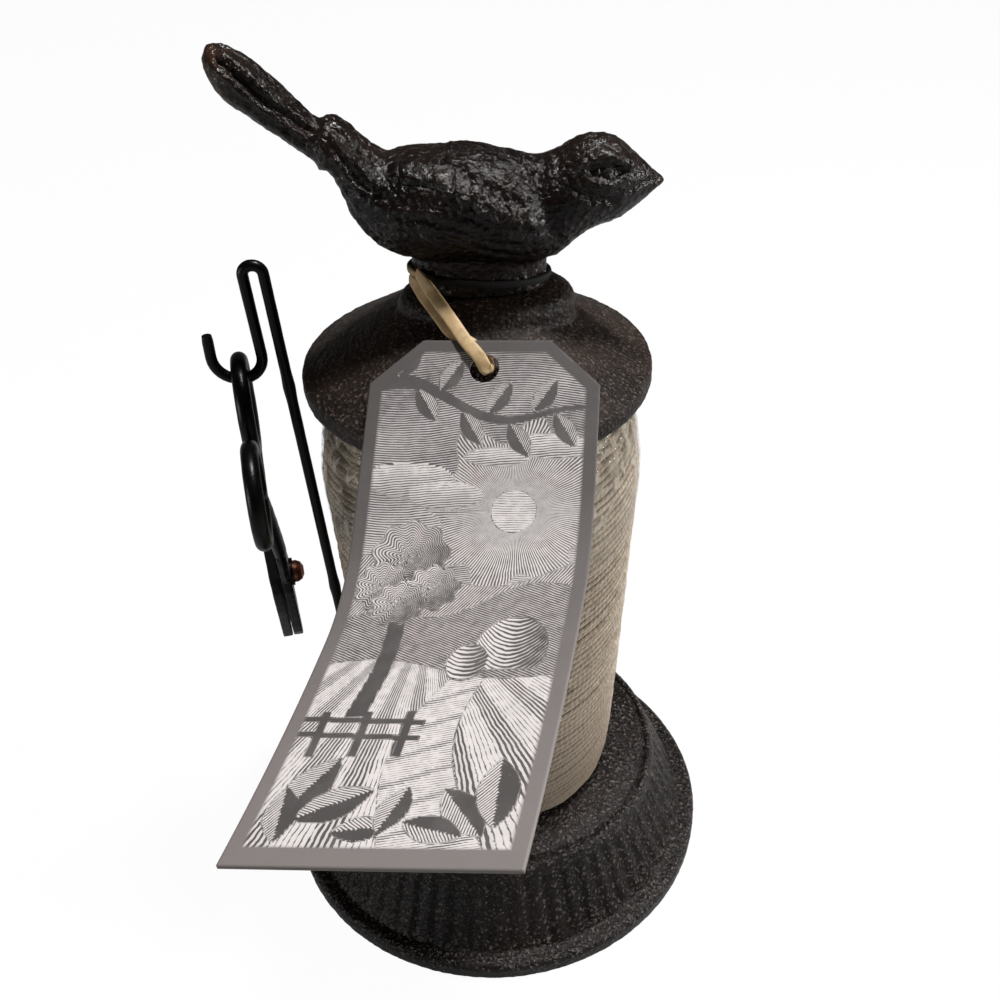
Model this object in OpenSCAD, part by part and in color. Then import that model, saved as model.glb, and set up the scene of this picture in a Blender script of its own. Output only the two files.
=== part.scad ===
// String holder: a fluted cast base carries a spool of twine on a spindle, under a lid with a cast bird.
// A bent wire at the side holds a pair of small scissors, and a card tag hangs from a rubber band.
// Millimetres, +Z up, origin on the axis at the standing plane. The bird looks along +X.

/* [Base] */
// Diameter of the base where it stands
base_d = 120; // [110:1:140]
// Height of the flat rim round the foot
rim_h = 4.8; // [3:0.1:8]
// Width of the flat rim
rim_w = 4.7; // [3:0.1:7]
// Diameter of the ridge round the plate
plate_d = 91.8; // [86:0.2:98]
// Height of the top of the plate
plate_z = 28.1; // [22:0.1:36]
// Width of the ridge round the plate
ridge_w = 1.4; // [0.8:0.1:2]
// Width of the groove inside the ridge
groove_w = 1.6; // [0.8:0.1:2.4]
// Depth of the groove below the plate
groove_depth = 1.6; // [0.6:0.1:2.4]
// Thickness of the plate
plate_t = 4; // [3:0.1:6]
// Thickness of the fluted wall, measured level
base_wall = 3.6; // [2.5:0.1:5]
// Number of flutes round the wall
flute_count = 64; // [40:1:72]
// Radius of the round cut of a flute
flute_r = 2.2; // [1.6:0.1:3]
// Depth of a flute
flute_depth = 0.75; // [0.3:0.05:1.1]
// Plain wall left above and below the flutes
flute_margin = 1.3; // [0.8:0.1:3]

/* [Spindle] */
// Diameter of the spindle rod
rod_d = 8; // [6:0.5:10]
// Height of the cast boss under the plate
boss_h = 4; // [2:0.5:6]
// Diameter of the boss
boss_d = 24; // [20:0.5:30]
// Width across the flats of the spindle nuts
nut_af = 13; // [12:0.5:17]
// Height of a spindle nut
nut_h = 5; // [3:0.5:7]
// Diameter of the spindle washer
washer_d = 18; // [16:0.5:20]
// Thickness of the spindle washer
washer_t = 1.5; // [1:0.1:2]
// Thread that stands past the lower nut
rod_tail = 1.5; // [0.5:0.5:3]

/* [Spool] */
// Inside diameter of the cardboard core
core_bore = 28; // [24:0.5:34]
// Wall of the cardboard core
core_wall = 2; // [1:0.1:3]
// Space between the plate and the spool
spool_seat_gap = 0.2; // [0.1:0.05:0.3]
// Height of the wound twine
twine_h = 120; // [90:1:150]
// Radius of the winding at the foot
twine_foot_r = 33; // [30:0.5:34]
// Radius of the winding at mid height
twine_mid_r = 36; // [33:0.5:36]
// Largest radius of the winding, below the shoulder
twine_max_r = 37.8; // [36:0.2:38.4]
// Radius where the shoulder ends under the lid
shoulder_r = 29; // [24:0.5:32]
// Height of the rounded shoulder
shoulder_h = 19; // [12:0.5:24]
// Thickness of the twine strand that is drawn as the outer layer
strand_d = 2.2; // [1.4:0.1:2.6]
// Turns of the outer layer
strand_loops = 24; // [12:1:24]
// Space between the strand and the layers under it
strand_gap = 0.45; // [0.3:0.05:0.8]
// Thickness of the film over the shoulder
film_t = 0.3; // [0.2:0.05:0.5]
// Space between the film and the strand
film_gap = 0.3; // [0.2:0.05:0.5]
// Height of the film's lower edge above the foot of the winding
film_from = 84; // [60:1:92]

/* [Lid] */
// Diameter of the lid
lid_d = 78.8; // [77:0.2:84]
// Thickness of the lid's edge
lid_edge = 5.3; // [3.5:0.1:8]
// Rounding of the lid's edge
lid_round = 1.3; // [0.5:0.1:1.7]
// Slope of the lid's top in degrees
lid_slope = 30.5; // [24:0.1:33]
// Radius of the flat in the middle of the lid's top
lid_flat_r = 13; // [10:0.5:15]
// Space between the film and the lid
lid_gap = 0.7; // [0.4:0.1:2]
// Length of the spindle that stands in the lid
lid_socket = 10.5; // [6:0.5:12]
// Clearance of the spindle in the lid, on the radius
socket_fit = 0.05; // [0.02:0.01:0.1]

/* [Bird] */
// Height of the middle of the bird's body above the flat of the lid
bird_lift = 20.3; // [18:0.1:24]
// Half length of the neck under the bird
neck_a = 14.75; // [13:0.05:15.5]
// Half width of the neck
neck_b = 7.8; // [6.5:0.1:9]
// Half length of the oval mound cast on the lid
mound_a = 19.3; // [18:0.1:21]
// Half width of the mound
mound_b = 14.2; // [12:0.1:15]
// Shift of the mound towards the head
mound_shift = 2.7; // [1:0.1:4]
// Height of the mound above the flat of the lid
mound_h = 2.4; // [1.6:0.1:3.4]
// Thread diameter of the two screws under the bird
bird_screw_d = 4; // [3:0.5:5]
// Length of those screws under the head
bird_screw_len = 28; // [25:0.5:30]
// Distance between those screws
bird_screw_pitch = 22; // [21.6:0.1:23]
// Diameter of their heads
bird_head_d = 7; // [6:0.5:8]
// Height of their heads
bird_head_h = 2.4; // [1.5:0.1:3]
// Diameter of their washers
bird_washer_d = 8.4; // [8:0.1:9]
// Thickness of their washers
bird_washer_t = 0.8; // [0.5:0.1:1.2]

/* [Hook] */
// Diameter of the hook's wire
wire_d = 2.6; // [2:0.1:3]
// Distance of the wire's foot inside the edge of the raised plate
foot_inset = 4.9; // [4.5:0.1:6.1]
// Distance of the wire behind the middle plane
hook_y = 6; // [4:0.5:8]
// Height of the hairpin's top above the plate
hairpin_h = 147.4; // [130:0.5:160]
// Distance between the two legs of the hairpin
hairpin_w = 4.6; // [4.2:0.1:6]
// How far the wire leans out, from the plate to the hairpin
lean = 8.1; // [7:0.1:14]
// Height of the hook's trough below the hairpin's top
hook_drop = 28; // [24:0.5:32]
// Width of the hook between wire centres
hook_w = 12; // [11:0.2:14]
// Height of the hook's tip above its trough
hook_tip = 11.6; // [9:0.2:14]
// Width across the flats of the small nuts on the wire's foot
foot_nut_af = 6; // [5.5:0.1:6.4]
// Height of those nuts
foot_nut_h = 2.4; // [1.6:0.1:3.2]
// Diameter of their washers
foot_washer_d = 7; // [6.8:0.1:7.2]
// Thickness of their washers
foot_washer_t = 0.6; // [0.4:0.1:1]

/* [Scissors] */
// Outside radius of a finger loop
loop_r = 12.8; // [11:0.1:13]
// Thickness of the loop's rod
loop_rod = 4; // [3:0.1:4.2]
// Space between the two loops when closed
loop_gap = 0.8; // [0.5:0.1:2]
// Height of the loops' centres above the pivot
loop_up = 57; // [50:0.5:64]
// Length of a blade below the pivot
blade_len = 37; // [30:0.5:42]
// Width of a blade at the pivot
blade_w = 8.4; // [7:0.2:10]
// Thickness of a blade
blade_t = 2.8; // [2.2:0.1:3.2]
// Space between the two blades
blade_gap = 0.2; // [0.1:0.05:0.4]
// Tilt of the hanging scissors in degrees
hang_tilt = 20; // [10:1:30]
// Turn of the hanging scissors about the upright in degrees
hang_turn = 10.5; // [0:0.5:12]
// Space between the loop and the wire that it hangs on
hang_gap = 0.3; // [0.2:0.05:0.5]
// Diameter of the pivot screw
pivot_d = 3.4; // [2.6:0.1:4]
// Diameter of the pivot screw's head
pivot_head_d = 6; // [5:0.1:7]
// Height of the pivot screw's domed head
pivot_head_h = 2.8; // [1.6:0.1:3]
// Diameter of the pivot washer
pivot_washer_d = 7.6; // [7:0.1:8.4]
// Thickness of the pivot washer
pivot_washer_t = 0.8; // [0.5:0.1:1.2]
// Clearance of the pivot in the free half, on the radius
pivot_fit = 0.05; // [0.02:0.01:0.1]

/* [Tag] */
// Width of the card tag
tag_w = 46.5; // [44:0.5:50]
// Length of the card tag
tag_len = 115; // [100:1:125]
// Thickness of the card
tag_t = 0.7; // [0.5:0.1:1]
// Cut of the upper corners, across
tag_cut_w = 10.2; // [8:0.2:12]
// Cut of the upper corners, along
tag_cut_h = 9.6; // [8:0.2:12]
// Diameter of the punched hole
tag_hole_d = 6; // [5.6:0.1:7]
// Distance of the hole from the top edge
tag_hole_v = 6.2; // [5:0.1:7]
// Slope of the card where it lies over the lid, in degrees
tag_slope = 34.4; // [33:0.2:38]
// Straight length before the card curls
tag_straight = 34.6; // [30:0.2:38]
// Radius of the card's curl
tag_curl_r = 40; // [34:1:50]
// Angle of the curl in degrees
tag_curl_a = 35.5; // [30:0.5:42]
// Radius of the long upward bow after the curl
tag_bow_r = 370; // [300:10:500]
// Turn of the curl's axis in the card, in degrees
tag_skew = 12.7; // [8:0.1:16]
// Distance of the card's top edge in front of the mound
tag_front = 7.1; // [6.6:0.1:8]
// Shift of the card's top edge from the mound's middle towards the tail
tag_off = 0.5; // [0:0.1:1.5]
// Height of the card's top edge above the lid
tag_lift = 4.3; // [4:0.1:5.5]
// Roll of the card towards its left edge, in degrees
tag_roll = 10.3; // [8:0.1:12]
// Width of the rubber band
band_w = 2.3; // [1.8:0.1:2.6]
// Thickness of the rubber band
band_t = 1.2; // [0.8:0.1:1.3]
// Height of the band on the bird's neck, at the tail's side
band_rise = 4.4; // [4.4:0.1:4.7]
// How much lower the band lies at the head's side
band_dip = 2.2; // [2:0.1:3]
// Space between the band and the neck's middle line
band_clear = 0.9; // [0.8:0.05:1.1]
// Extra space at the neck's two ends, as a share of that
band_ends = 1.2; // [1.15:0.05:1.4]

/* [Hidden] */
$fn = 64;
// Small fit of parts that stay together, on the radius
fit = 0.05;
// Overlap that makes cuts run clean through
cut = 1;
function unit(v) = v / norm(v);
function swap(p) = [p[1], p[0]];

// Heights and radii of the base
base_r = base_d / 2;
rim_r = base_r - rim_w;
ridge_r = plate_d / 2;
ridge_z = plate_z - 0.9;
wall_top_z = ridge_z - 1.6;
wall_top_r = ridge_r + 0.5;
wall_lean = atan2(rim_r - wall_top_r, wall_top_z - rim_h);
wall_len = norm([rim_r - wall_top_r, wall_top_z - rim_h]);
plate_under = plate_z - plate_t;
boss_z = plate_under - boss_h;
raised_r = ridge_r - ridge_w - groove_w;

// Heights of the spool, lid and spindle
spool_z = plate_z + spool_seat_gap;
twine_top = spool_z + twine_h;
lid_z = twine_top + film_gap + film_t + lid_gap;
lid_r = lid_d / 2;
lid_rim_z = lid_z + lid_edge;
lid_cone_r = lid_r - lid_round;
lid_flat_z = lid_rim_z + (lid_cone_r - lid_flat_r) * tan(lid_slope);
rod_r = rod_d / 2;
rod_top = lid_z + lid_socket;
spindle_washer_z = boss_z - washer_t;
spindle_nut_z = spindle_washer_z - nut_h;
rod_bottom = spindle_nut_z - rod_tail;

// Outline of the winding: height above its foot against radius, from foot to shoulder
strand_r = strand_d / 2;
twine_outline = [
    [0, twine_foot_r],
    [5, twine_foot_r + 0.6],
    [twine_h * 0.45, twine_mid_r],
    [twine_h - shoulder_h - 6, twine_max_r],
    [twine_h - shoulder_h, twine_max_r],
    [twine_h - shoulder_h * 0.5, twine_max_r - 1.2],
    [twine_h - shoulder_h * 0.16, (twine_max_r + shoulder_r) / 2],
    [twine_h, shoulder_r]
];
core_r = core_bore / 2 + core_wall;
layer_step = strand_d + strand_gap;
strand_from = 2.5;
strand_to = twine_h - shoulder_h * 0.4;
strand_rings = 24;
strand_sides = 6;

// Wire of the hook, in its own upright plane: across, then up
foot_x = foot_inset - raised_r;
foot_bend_z = plate_z + 8;
hairpin_top = plate_z + hairpin_h;
leg_x = foot_x - lean;
far_leg_x = leg_x - hairpin_w;
leg_slope = lean / (hairpin_top - foot_bend_z);
trough_z = hairpin_top - hook_drop;
hook_x = far_leg_x + leg_slope * hook_drop;
tip_x = hook_x - hook_w;
foot_stack = foot_washer_t + foot_nut_h;
foot_z = plate_under - foot_stack - rod_tail;
wire_r = wire_d / 2;
wire_corners = [
    [foot_x, foot_z],
    [foot_x, foot_bend_z],
    [leg_x, hairpin_top],
    [far_leg_x, hairpin_top],
    [hook_x, trough_z],
    [tip_x, trough_z],
    [tip_x, trough_z + hook_tip]
];
wire_bends = [0, 18, hairpin_w * 0.47, hairpin_w * 0.47, hook_w * 0.46, hook_w * 0.48, 0];

wire_last = len(wire_corners) - 1;
wire_sides = 12;
wire_dirs = [for (i = [0 : wire_last - 1]) unit(wire_corners[i + 1] - wire_corners[i])];
function wire_turn(i) = let (a = wire_dirs[i - 1], b = wire_dirs[i]) atan2(a.x * b.y - a.y * b.x, a * b);
function wire_arc(i) = let (
    turn = wire_turn(i),
    start = wire_corners[i] - wire_dirs[i - 1] * wire_bends[i] * tan(abs(turn) / 2),
    aside = [-wire_dirs[i - 1].y, wire_dirs[i - 1].x] * sign(turn) * wire_bends[i],
    steps = ceil(abs(turn) / 12))
    [for (k = [0 : steps]) let (a = turn * k / steps)
        start + aside - [aside.x * cos(a) - aside.y * sin(a), aside.x * sin(a) + aside.y * cos(a)]];
wire_arcs = [for (i = [1 : wire_last - 1]) each wire_arc(i)];
wire_line = concat([wire_corners[0]], wire_arcs, [wire_corners[wire_last]]);
function wire_ring(i) = let (
    n = len(wire_line) - 1,
    dir = unit(wire_line[min(i + 1, n)] - wire_line[max(i - 1, 0)]),
    p = wire_line[i])
    [for (k = [0 : wire_sides - 1]) let (a = 360 * k / wire_sides)
        [p.x - dir.y * cos(a) * wire_r, hook_y + sin(a) * wire_r, p.y + dir.x * cos(a) * wire_r]];

// Scissors: the loop of one half hangs on the trough of the hook
loop_mean_r = loop_r - loop_rod / 2;
loop_inner_r = loop_r - loop_rod;
loop_side = loop_r + loop_gap / 2;
scissor_x = (hook_x + tip_x) / 2;
loop_z = trough_z - (loop_inner_r - wire_r - hang_gap);
pivot_y = hook_y - loop_side * cos(hang_tilt) + loop_up * sin(hang_tilt);
pivot_z = loop_z - loop_side * sin(hang_tilt) - loop_up * cos(hang_tilt);
pivot_r = pivot_d / 2;
tang_up = loop_up * 0.27;

// Bird's body from tail to beak: along, height of the middle, half height, half width
bird_z = lid_flat_z + bird_lift;
bird_stations = [
    [-49.6, 30.0, 0.4, 0.5],
    [-48.6, 29.4, 3.0, 3.4],
    [-46.5, 28.0, 5.1, 5.2],
    [-43, 25.7, 5.7, 5.9],
    [-38, 21.7, 5.7, 6],
    [-32, 16.0, 4.7, 5.4],
    [-29.4, 13.8, 4.6, 5.6],
    [-27.5, 12.7, 5.4, 6.4],
    [-25.5, 10.9, 6.9, 7],
    [-24, 8.0, 9.2, 7.6],
    [-22, 5.3, 9.8, 8.3],
    [-18, 1.8, 10, 9.8],
    [-10, 0.3, 11.2, 12.4],
    [0, 0, 12, 13.6],
    [8, -1, 11.6, 12.8],
    [14, -1.4, 10.9, 10.8],
    [18, -0.3, 10.9, 9.6],
    [22, 2.5, 10.2, 9.2],
    [26, 4.0, 9.4, 8.8],
    [30, 4.1, 8.3, 7.6],
    [33.5, 3.8, 5.8, 5.4],
    [36.5, 3.5, 3.3, 3],
    [40, 3.4, 0.4, 0.4]
];
bird_sides = 28;
bird_mid = [for (s = bird_stations) [s[0], s[1]]];
bird_half_h = [for (s = bird_stations) [s[0], s[2]]];
bird_half_w = [for (s = bird_stations) [s[0], s[3]]];

// Neck: an upright oval stem from the belly to the mound
neck_x = mound_shift - 1.35;
neck_z = lid_flat_z + mound_h;
neck_steps = [-1, -0.985, -0.92, -0.75, -0.45, 0, 0.45, 0.75, 0.92, 0.985, 1];
neck_from = neck_x - neck_a;
neck_to = neck_x + neck_a;
bird_xs = concat(
    [for (s = bird_stations) if (s[0] < neck_from) s[0]],
    [for (k = neck_steps) neck_x + neck_a * k],
    [for (s = bird_stations) if (s[0] > neck_to) s[0]]);

// Mound on the lid: how far its edge is drawn in, then the height above the flat
mound_sink = 9;
mound_edge = [
    [0, -mound_sink],
    [0, -1.2],
    [0.6, mound_h * 0.2],
    [2.2, mound_h * 0.7],
    [4.2, mound_h]
];
mound_reach = mound_a - mound_b;

// Screws under the bird
bird_screw_r = bird_screw_d / 2;
bird_pocket_h = bird_head_h + bird_washer_t + 0.4;
bird_seat_z = lid_z + bird_pocket_h;
bird_screw_x = [for (s = [-1, 1]) neck_x + s * bird_screw_pitch / 2];

// Card: point across u, along v and above h, bent round a skewed axis over the lid's front
tag_top_y = -mound_b - tag_front;
tag_top_z = lid_rim_z + (lid_cone_r + tag_top_y) * tan(lid_slope) + tag_lift;
tag_top_x = mound_shift - tag_off;
tag_curl_len = tag_curl_r * tag_curl_a * PI / 180;
tag_flat_slope = tag_slope - tag_curl_a;
tag_rows = 26;
tag_cols = 6;
function card_turn(s) = min(max(s - tag_straight, 0), tag_curl_len) / tag_curl_r * 180 / PI;
function card_bow(s) = max(s - tag_straight - tag_curl_len, 0) / tag_bow_r * 180 / PI;
function card_slope(s) = tag_slope - card_turn(s) - card_bow(s);
function card_out(s) = min(s, tag_straight) * cos(tag_slope)
    + tag_curl_r * (sin(tag_slope) - sin(tag_slope - card_turn(s)))
    + tag_bow_r * (sin(tag_flat_slope) - sin(tag_flat_slope - card_bow(s)));
function card_up(s) = -min(s, tag_straight) * sin(tag_slope)
    - tag_curl_r * (cos(tag_slope - card_turn(s)) - cos(tag_slope))
    - tag_bow_r * (cos(tag_flat_slope - card_bow(s)) - cos(tag_flat_slope));
function card_roll(p) = [p.x * cos(tag_roll) - p.z * sin(tag_roll), p.y,
    p.x * sin(tag_roll) + p.z * cos(tag_roll)];
function card_bent(s, t, h) = [t, -card_out(s) - h * sin(card_slope(s)),
    card_up(s) + h * cos(card_slope(s))];
function card_point(u, v, h) = [tag_top_x, tag_top_y, tag_top_z]
    + card_roll(card_bent(v * cos(tag_skew) + u * sin(tag_skew), u * cos(tag_skew) - v * sin(tag_skew), h));
function card_half(v) = tag_w / 2 - tag_cut_w * max(1 - v / tag_cut_h, 0);
tag_hole = card_point(0, tag_hole_v, 0);
tag_hole_axis = card_point(0, tag_hole_v, 1) - tag_hole;

// Rubber band, each point with the way that its flat side faces: a ring round the bird's neck, and
// a hairpin from the ring's left end over the card, through its hole and back behind the card
function neck_side(a, grow, h) = [
    [neck_x + (neck_a + grow) * cos(a), (neck_b + grow) * sin(a), neck_z + h],
    unit([neck_b * cos(a), neck_a * sin(a), 0])];
function card_side(u, v, h) = [card_point(u, v, h), tag_hole_axis];
function band_grow(a) = band_clear * (1 + band_ends * abs(cos(a)));
// A straight strand from the ring to the card, which turns flat as it goes and bows a little outwards
function band_strand(high, low, bow) = [for (k = [0.2 : 0.2 : 0.8])
    let (turned = min(1, k * 2))
        [high[0] * (1 - k) + low[0] * k + tag_hole_axis * bow * sin(180 * k),
            unit(high[1] * (1 - turned) + low[1] * turned)]];
band_turns = 32;
band_ring = [for (k = [0 : band_turns - 1]) let (a = 360 * k / band_turns)
    neck_side(a, band_grow(a), band_rise - band_dip * (1 + cos(a)) / 2)];
band_upper = neck_side(207, band_grow(207), band_rise * 1.04);
band_over = card_side(-tag_hole_v * 0.62, tag_hole_v * 0.15, tag_t + band_t * 0.92);
band_lower = neck_side(193, band_grow(193), band_rise * 0.5);
band_behind = card_side(-tag_hole_v * 1.2, -tag_hole_v * 0.45, -band_t * 0.5);
band_back = band_strand(band_lower, band_behind, 0);
band_hairpin = concat(
    [band_upper],
    band_strand(band_upper, band_over, band_t / 2),
    [band_over,
        card_side(-band_w * 0.35, tag_hole_v - band_w * 0.7, tag_t + band_t * 1.08),
        card_side(band_w * 0.13, tag_hole_v, tag_t / 2),
        card_side(0, tag_hole_v - band_w * 0.83, -band_t * 1.17),
        card_side(-tag_hole_v * 0.42, tag_hole_v * 0.1, -band_t * 1.08),
        band_behind],
    [for (i = [len(band_back) - 1 : -1 : 0]) band_back[i]],
    [band_lower]);

iron = "#2e2724";
steel = "#8b8a88";
black = "#18181a";

// Closed skin over rings of equal length, with flat ends
module loft(rings) {
    n = len(rings[0]);
    m = len(rings);
    sides = [for (i = [0 : m - 2], j = [0 : n - 1])
        let (a = i * n + j, b = i * n + (j + 1) % n) each [[a, b, a + n], [b, b + n, a + n]]];
    end = (m - 1) * n;
    first = [for (k = [0 : n / 2 - 2]) each [[k, n - 1 - k, k + 1], [k + 1, n - 1 - k, n - 2 - k]]];
    last = [for (f = first) [end + f[0], end + f[2], end + f[1]]];
    polyhedron([for (r = rings) each r], concat(first, sides, last), convexity = 8);
}

// Closed loop over rings of equal length
module hoop(rings) {
    n = len(rings[0]);
    m = len(rings);
    faces = [for (i = [0 : m - 1], j = [0 : n - 1])
        let (
            next = (i + 1) % m,
            a = i * n + j,
            b = i * n + (j + 1) % n,
            c = next * n + j,
            d = next * n + (j + 1) % n)
            each [[a, b, c], [b, d, c]]];
    polyhedron([for (r = rings) each r], faces, convexity = 8);
}

module hex_nut(af, h, bore_r) {
    difference() {
        cylinder(h = h, r = af / 2 / cos(30), $fn = 6);
        translate([0, 0, -cut]) cylinder(h = h + 2 * cut, r = bore_r);
    }
}

module ring_washer(d, t, bore_r) {
    difference() {
        cylinder(h = t, d = d);
        translate([0, 0, -cut]) cylinder(h = t + 2 * cut, r = bore_r);
    }
}

module base_casting() {
    color(iron) difference() {
        rotate_extrude($fn = 128) polygon([
            [rod_r + fit, plate_z],
            [raised_r, plate_z],
            [raised_r + groove_w * 0.4, plate_z - groove_depth],
            [raised_r + groove_w, plate_z - groove_depth],
            [ridge_r - ridge_w, ridge_z],
            [ridge_r, ridge_z],
            [wall_top_r, wall_top_z + 0.6],
            [wall_top_r, wall_top_z],
            [rim_r, rim_h],
            [base_r - 1.4, rim_h],
            [base_r, rim_h - 1.2],
            [base_r, 0],
            [rim_r - base_wall + 1, 0],
            [rim_r - base_wall + 1, rim_h - 2],
            [wall_top_r - base_wall, plate_under],
            [boss_d / 2, plate_under],
            [boss_d / 2 - 1, boss_z],
            [rod_r + fit, boss_z]
        ]);
        for (i = [0 : flute_count - 1]) {
            rotate([0, 0, (i + 0.5) * 360 / flute_count])
                translate([rim_r, 0, rim_h])
                    rotate([0, -wall_lean, 0])
                        translate([flute_r - flute_depth, 0, flute_margin])
                            cylinder(h = wall_len - 2 * flute_margin, r = flute_r, $fn = 24);
        }
        translate([foot_x, hook_y, plate_under - cut]) cylinder(h = plate_t + 2 * cut, r = wire_r + fit);
    }
}

module spindle_rod() {
    color(steel) translate([0, 0, rod_bottom]) cylinder(h = rod_top - rod_bottom, r = rod_r);
}

module spindle_washer() {
    color(steel) translate([0, 0, spindle_washer_z]) ring_washer(washer_d, washer_t, rod_r + fit);
}

module spindle_nuts() {
    color(steel) for (z = [spindle_nut_z, plate_z]) {
        translate([0, 0, z]) hex_nut(nut_af, nut_h, rod_r + fit);
    }
}

module lid_stop_nut() {
    color(steel) translate([0, 0, lid_z - nut_h]) hex_nut(nut_af, nut_h, rod_r + fit);
}

module scissor_hook() {
    color(black) loft([for (i = [0 : len(wire_line) - 1]) wire_ring(i)]);
}

module hook_nuts() {
    color(steel) for (z = [plate_under - foot_stack, plate_z + foot_washer_t]) {
        translate([foot_x, hook_y, z]) hex_nut(foot_nut_af, foot_nut_h, wire_r + fit);
    }
}

module hook_washers() {
    color(steel) for (z = [plate_under - foot_washer_t, plate_z]) {
        translate([foot_x, hook_y, z]) ring_washer(foot_washer_d, foot_washer_t, wire_r + fit);
    }
}

module spool_core() {
    color("#b59a72") translate([0, 0, spool_z]) difference() {
        cylinder(h = twine_h - layer_step, r = core_r);
        translate([0, 0, -cut]) cylinder(h = twine_h + 2 * cut, d = core_bore);
    }
}

module twine_body() {
    last = len(twine_outline) - 1;
    inner = [for (p = twine_outline) [p[1] - layer_step, min(p[0], twine_h - layer_step)]];
    color("#c2b7a6") translate([0, 0, spool_z]) rotate_extrude($fn = 96) polygon(concat(
        [[core_r + fit, 0]], inner, [[core_r + fit, inner[last].y]]));
}

// Middle line of the strand: one unbroken climb round the winding
function strand_radius(h) = lookup(h, twine_outline) - strand_r;
function strand_point(i) = let (
    h = strand_from + (strand_to - strand_from) * i / (strand_loops * strand_rings),
    a = 360 * i / strand_rings,
    r = strand_radius(h)) [r * cos(a), r * sin(a), spool_z + h];
function strand_ring(p, dir) = let (
    out = unit([p.x, p.y, 0]),
    side = unit(cross(dir, out)))
    [for (k = [0 : strand_sides - 1])
        let (a = 360 * k / strand_sides)
            p + strand_r * (cos(a) * unit(cross(side, dir)) + sin(a) * side)];

module twine_winding() {
    n = strand_loops * strand_rings;
    line = [for (i = [0 : n]) strand_point(i)];
    head = unit(line[1] - line[0]);
    tail = unit(line[n] - line[n - 1]);
    path = concat([line[0] - head * strand_d], line, [line[n] + tail * strand_d]);
    dirs = concat([head, head], [for (i = [1 : n - 1]) unit(line[i + 1] - line[i - 1])], [tail, tail]);
    gaps = [for (i = [0 : n - strand_rings - 2], k = [-2 : 2]) norm(line[i] - line[i + strand_rings + k])];
    echo(least_gap_of_the_strand_to_itself = min(gaps) - strand_d);
    color("#d2c8b8") loft([for (i = [0 : n + 2]) strand_ring(path[i], dirs[i])]);
}

module shoulder_film() {
    from = twine_h - shoulder_h - 6;
    inner = concat([[lookup(film_from, twine_outline), film_from]],
        [for (p = twine_outline) if (p[0] >= from) swap(p)]);
    last = len(inner) - 1;
    near = [for (p = inner) p + [film_gap, p.y > twine_h - shoulder_h ? film_gap : 0]];
    far = [for (i = [last : -1 : 0]) near[i] + [film_t, inner[i].y > twine_h - shoulder_h ? film_t : 0]];
    color("#f4f4f0", 0.35) translate([0, 0, spool_z]) rotate_extrude($fn = 96) polygon(concat(near, far));
}

module lid_casting() {
    color(iron) difference() {
        union() {
            rotate_extrude($fn = 128) polygon([
                [0, lid_z],
                [lid_r - lid_round, lid_z],
                [lid_r, lid_z + lid_round],
                [lid_r, lid_rim_z - lid_round],
                [lid_cone_r, lid_rim_z],
                [lid_flat_r, lid_flat_z],
                [0, lid_flat_z]
            ]);
            for (x = [-mound_reach, 0, mound_reach]) {
                translate([mound_shift + x, 0, lid_flat_z]) rotate_extrude($fn = 96) polygon(concat(
                    [[0, -mound_sink]], [for (e = mound_edge) [mound_b - e[0], e[1]]], [[0, mound_h]]));
            }
        }
        translate([0, 0, lid_z - cut]) cylinder(h = lid_socket + 0.4 + cut, r = rod_r + socket_fit);
        for (x = bird_screw_x) {
            translate([x, 0, lid_z - cut]) cylinder(h = bird_pocket_h + cut, d = bird_washer_d + 1);
            translate([x, 0, lid_z]) cylinder(h = lid_flat_z, r = bird_screw_r + fit);
        }
    }
}

// Ring of the bird across its length: an oval, whose lowest points drop to the mound along the neck
function bird_oval(x, a) = [
    lookup(x, bird_half_w) * cos(a),
    lookup(x, bird_mid) + lookup(x, bird_half_h) * sin(a)];
function neck_half(x) = neck_b * sqrt(max(1 - pow((x - neck_x) / neck_a, 2), 0));
function bird_point(x, k) = let (
    p = bird_oval(x, 360 * k / bird_sides),
    low = bird_sides * 3 / 4,
    steps = abs(k - low),
    half = neck_half(x),
    drop = half > 0 && steps <= 3,
    side = sign(k - low) * half,
    under = lookup(x, bird_mid) - lookup(x, bird_half_h) * sqrt(1 - pow(half / lookup(x, bird_half_w), 2)))
    !drop ? [x, p.x, bird_z + p.y] :
    steps == 3 ? [x, side, bird_z + under] :
    [x, side * steps / 2, neck_z];

module bird_casting() {
    color(iron) difference() {
        loft([for (x = bird_xs) [for (k = [0 : bird_sides - 1]) bird_point(x, k)]]);
        for (x = bird_screw_x) {
            translate([x, 0, lid_z]) cylinder(h = bird_pocket_h + bird_screw_len + 1, r = bird_screw_r + fit);
        }
    }
}

module bird_screws() {
    color(steel) for (x = bird_screw_x) {
        translate([x, 0, bird_seat_z - bird_washer_t]) {
            cylinder(h = bird_screw_len, r = bird_screw_r);
            translate([0, 0, -bird_head_h]) cylinder(h = bird_head_h, d = bird_head_d);
        }
    }
}

module bird_screw_washers() {
    color(steel) for (x = bird_screw_x) {
        translate([x, 0, bird_seat_z - bird_washer_t])
            ring_washer(bird_washer_d, bird_washer_t, bird_screw_r + fit);
    }
}

// Rings of a flat band: its width lies across the route, flat against what it goes round
function band_rings(route, before, after) = [for (i = [0 : len(route) - 1])
    let (
        dir = unit(route[after[i]][0] - route[before[i]][0]),
        across = unit(cross(dir, route[i][1])),
        out = cross(across, dir))
        [for (c = [[-1, -1], [1, -1], [1, 1], [-1, 1]])
            route[i][0] + across * c.x * band_w / 2 + out * c.y * band_t / 2]];

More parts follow.
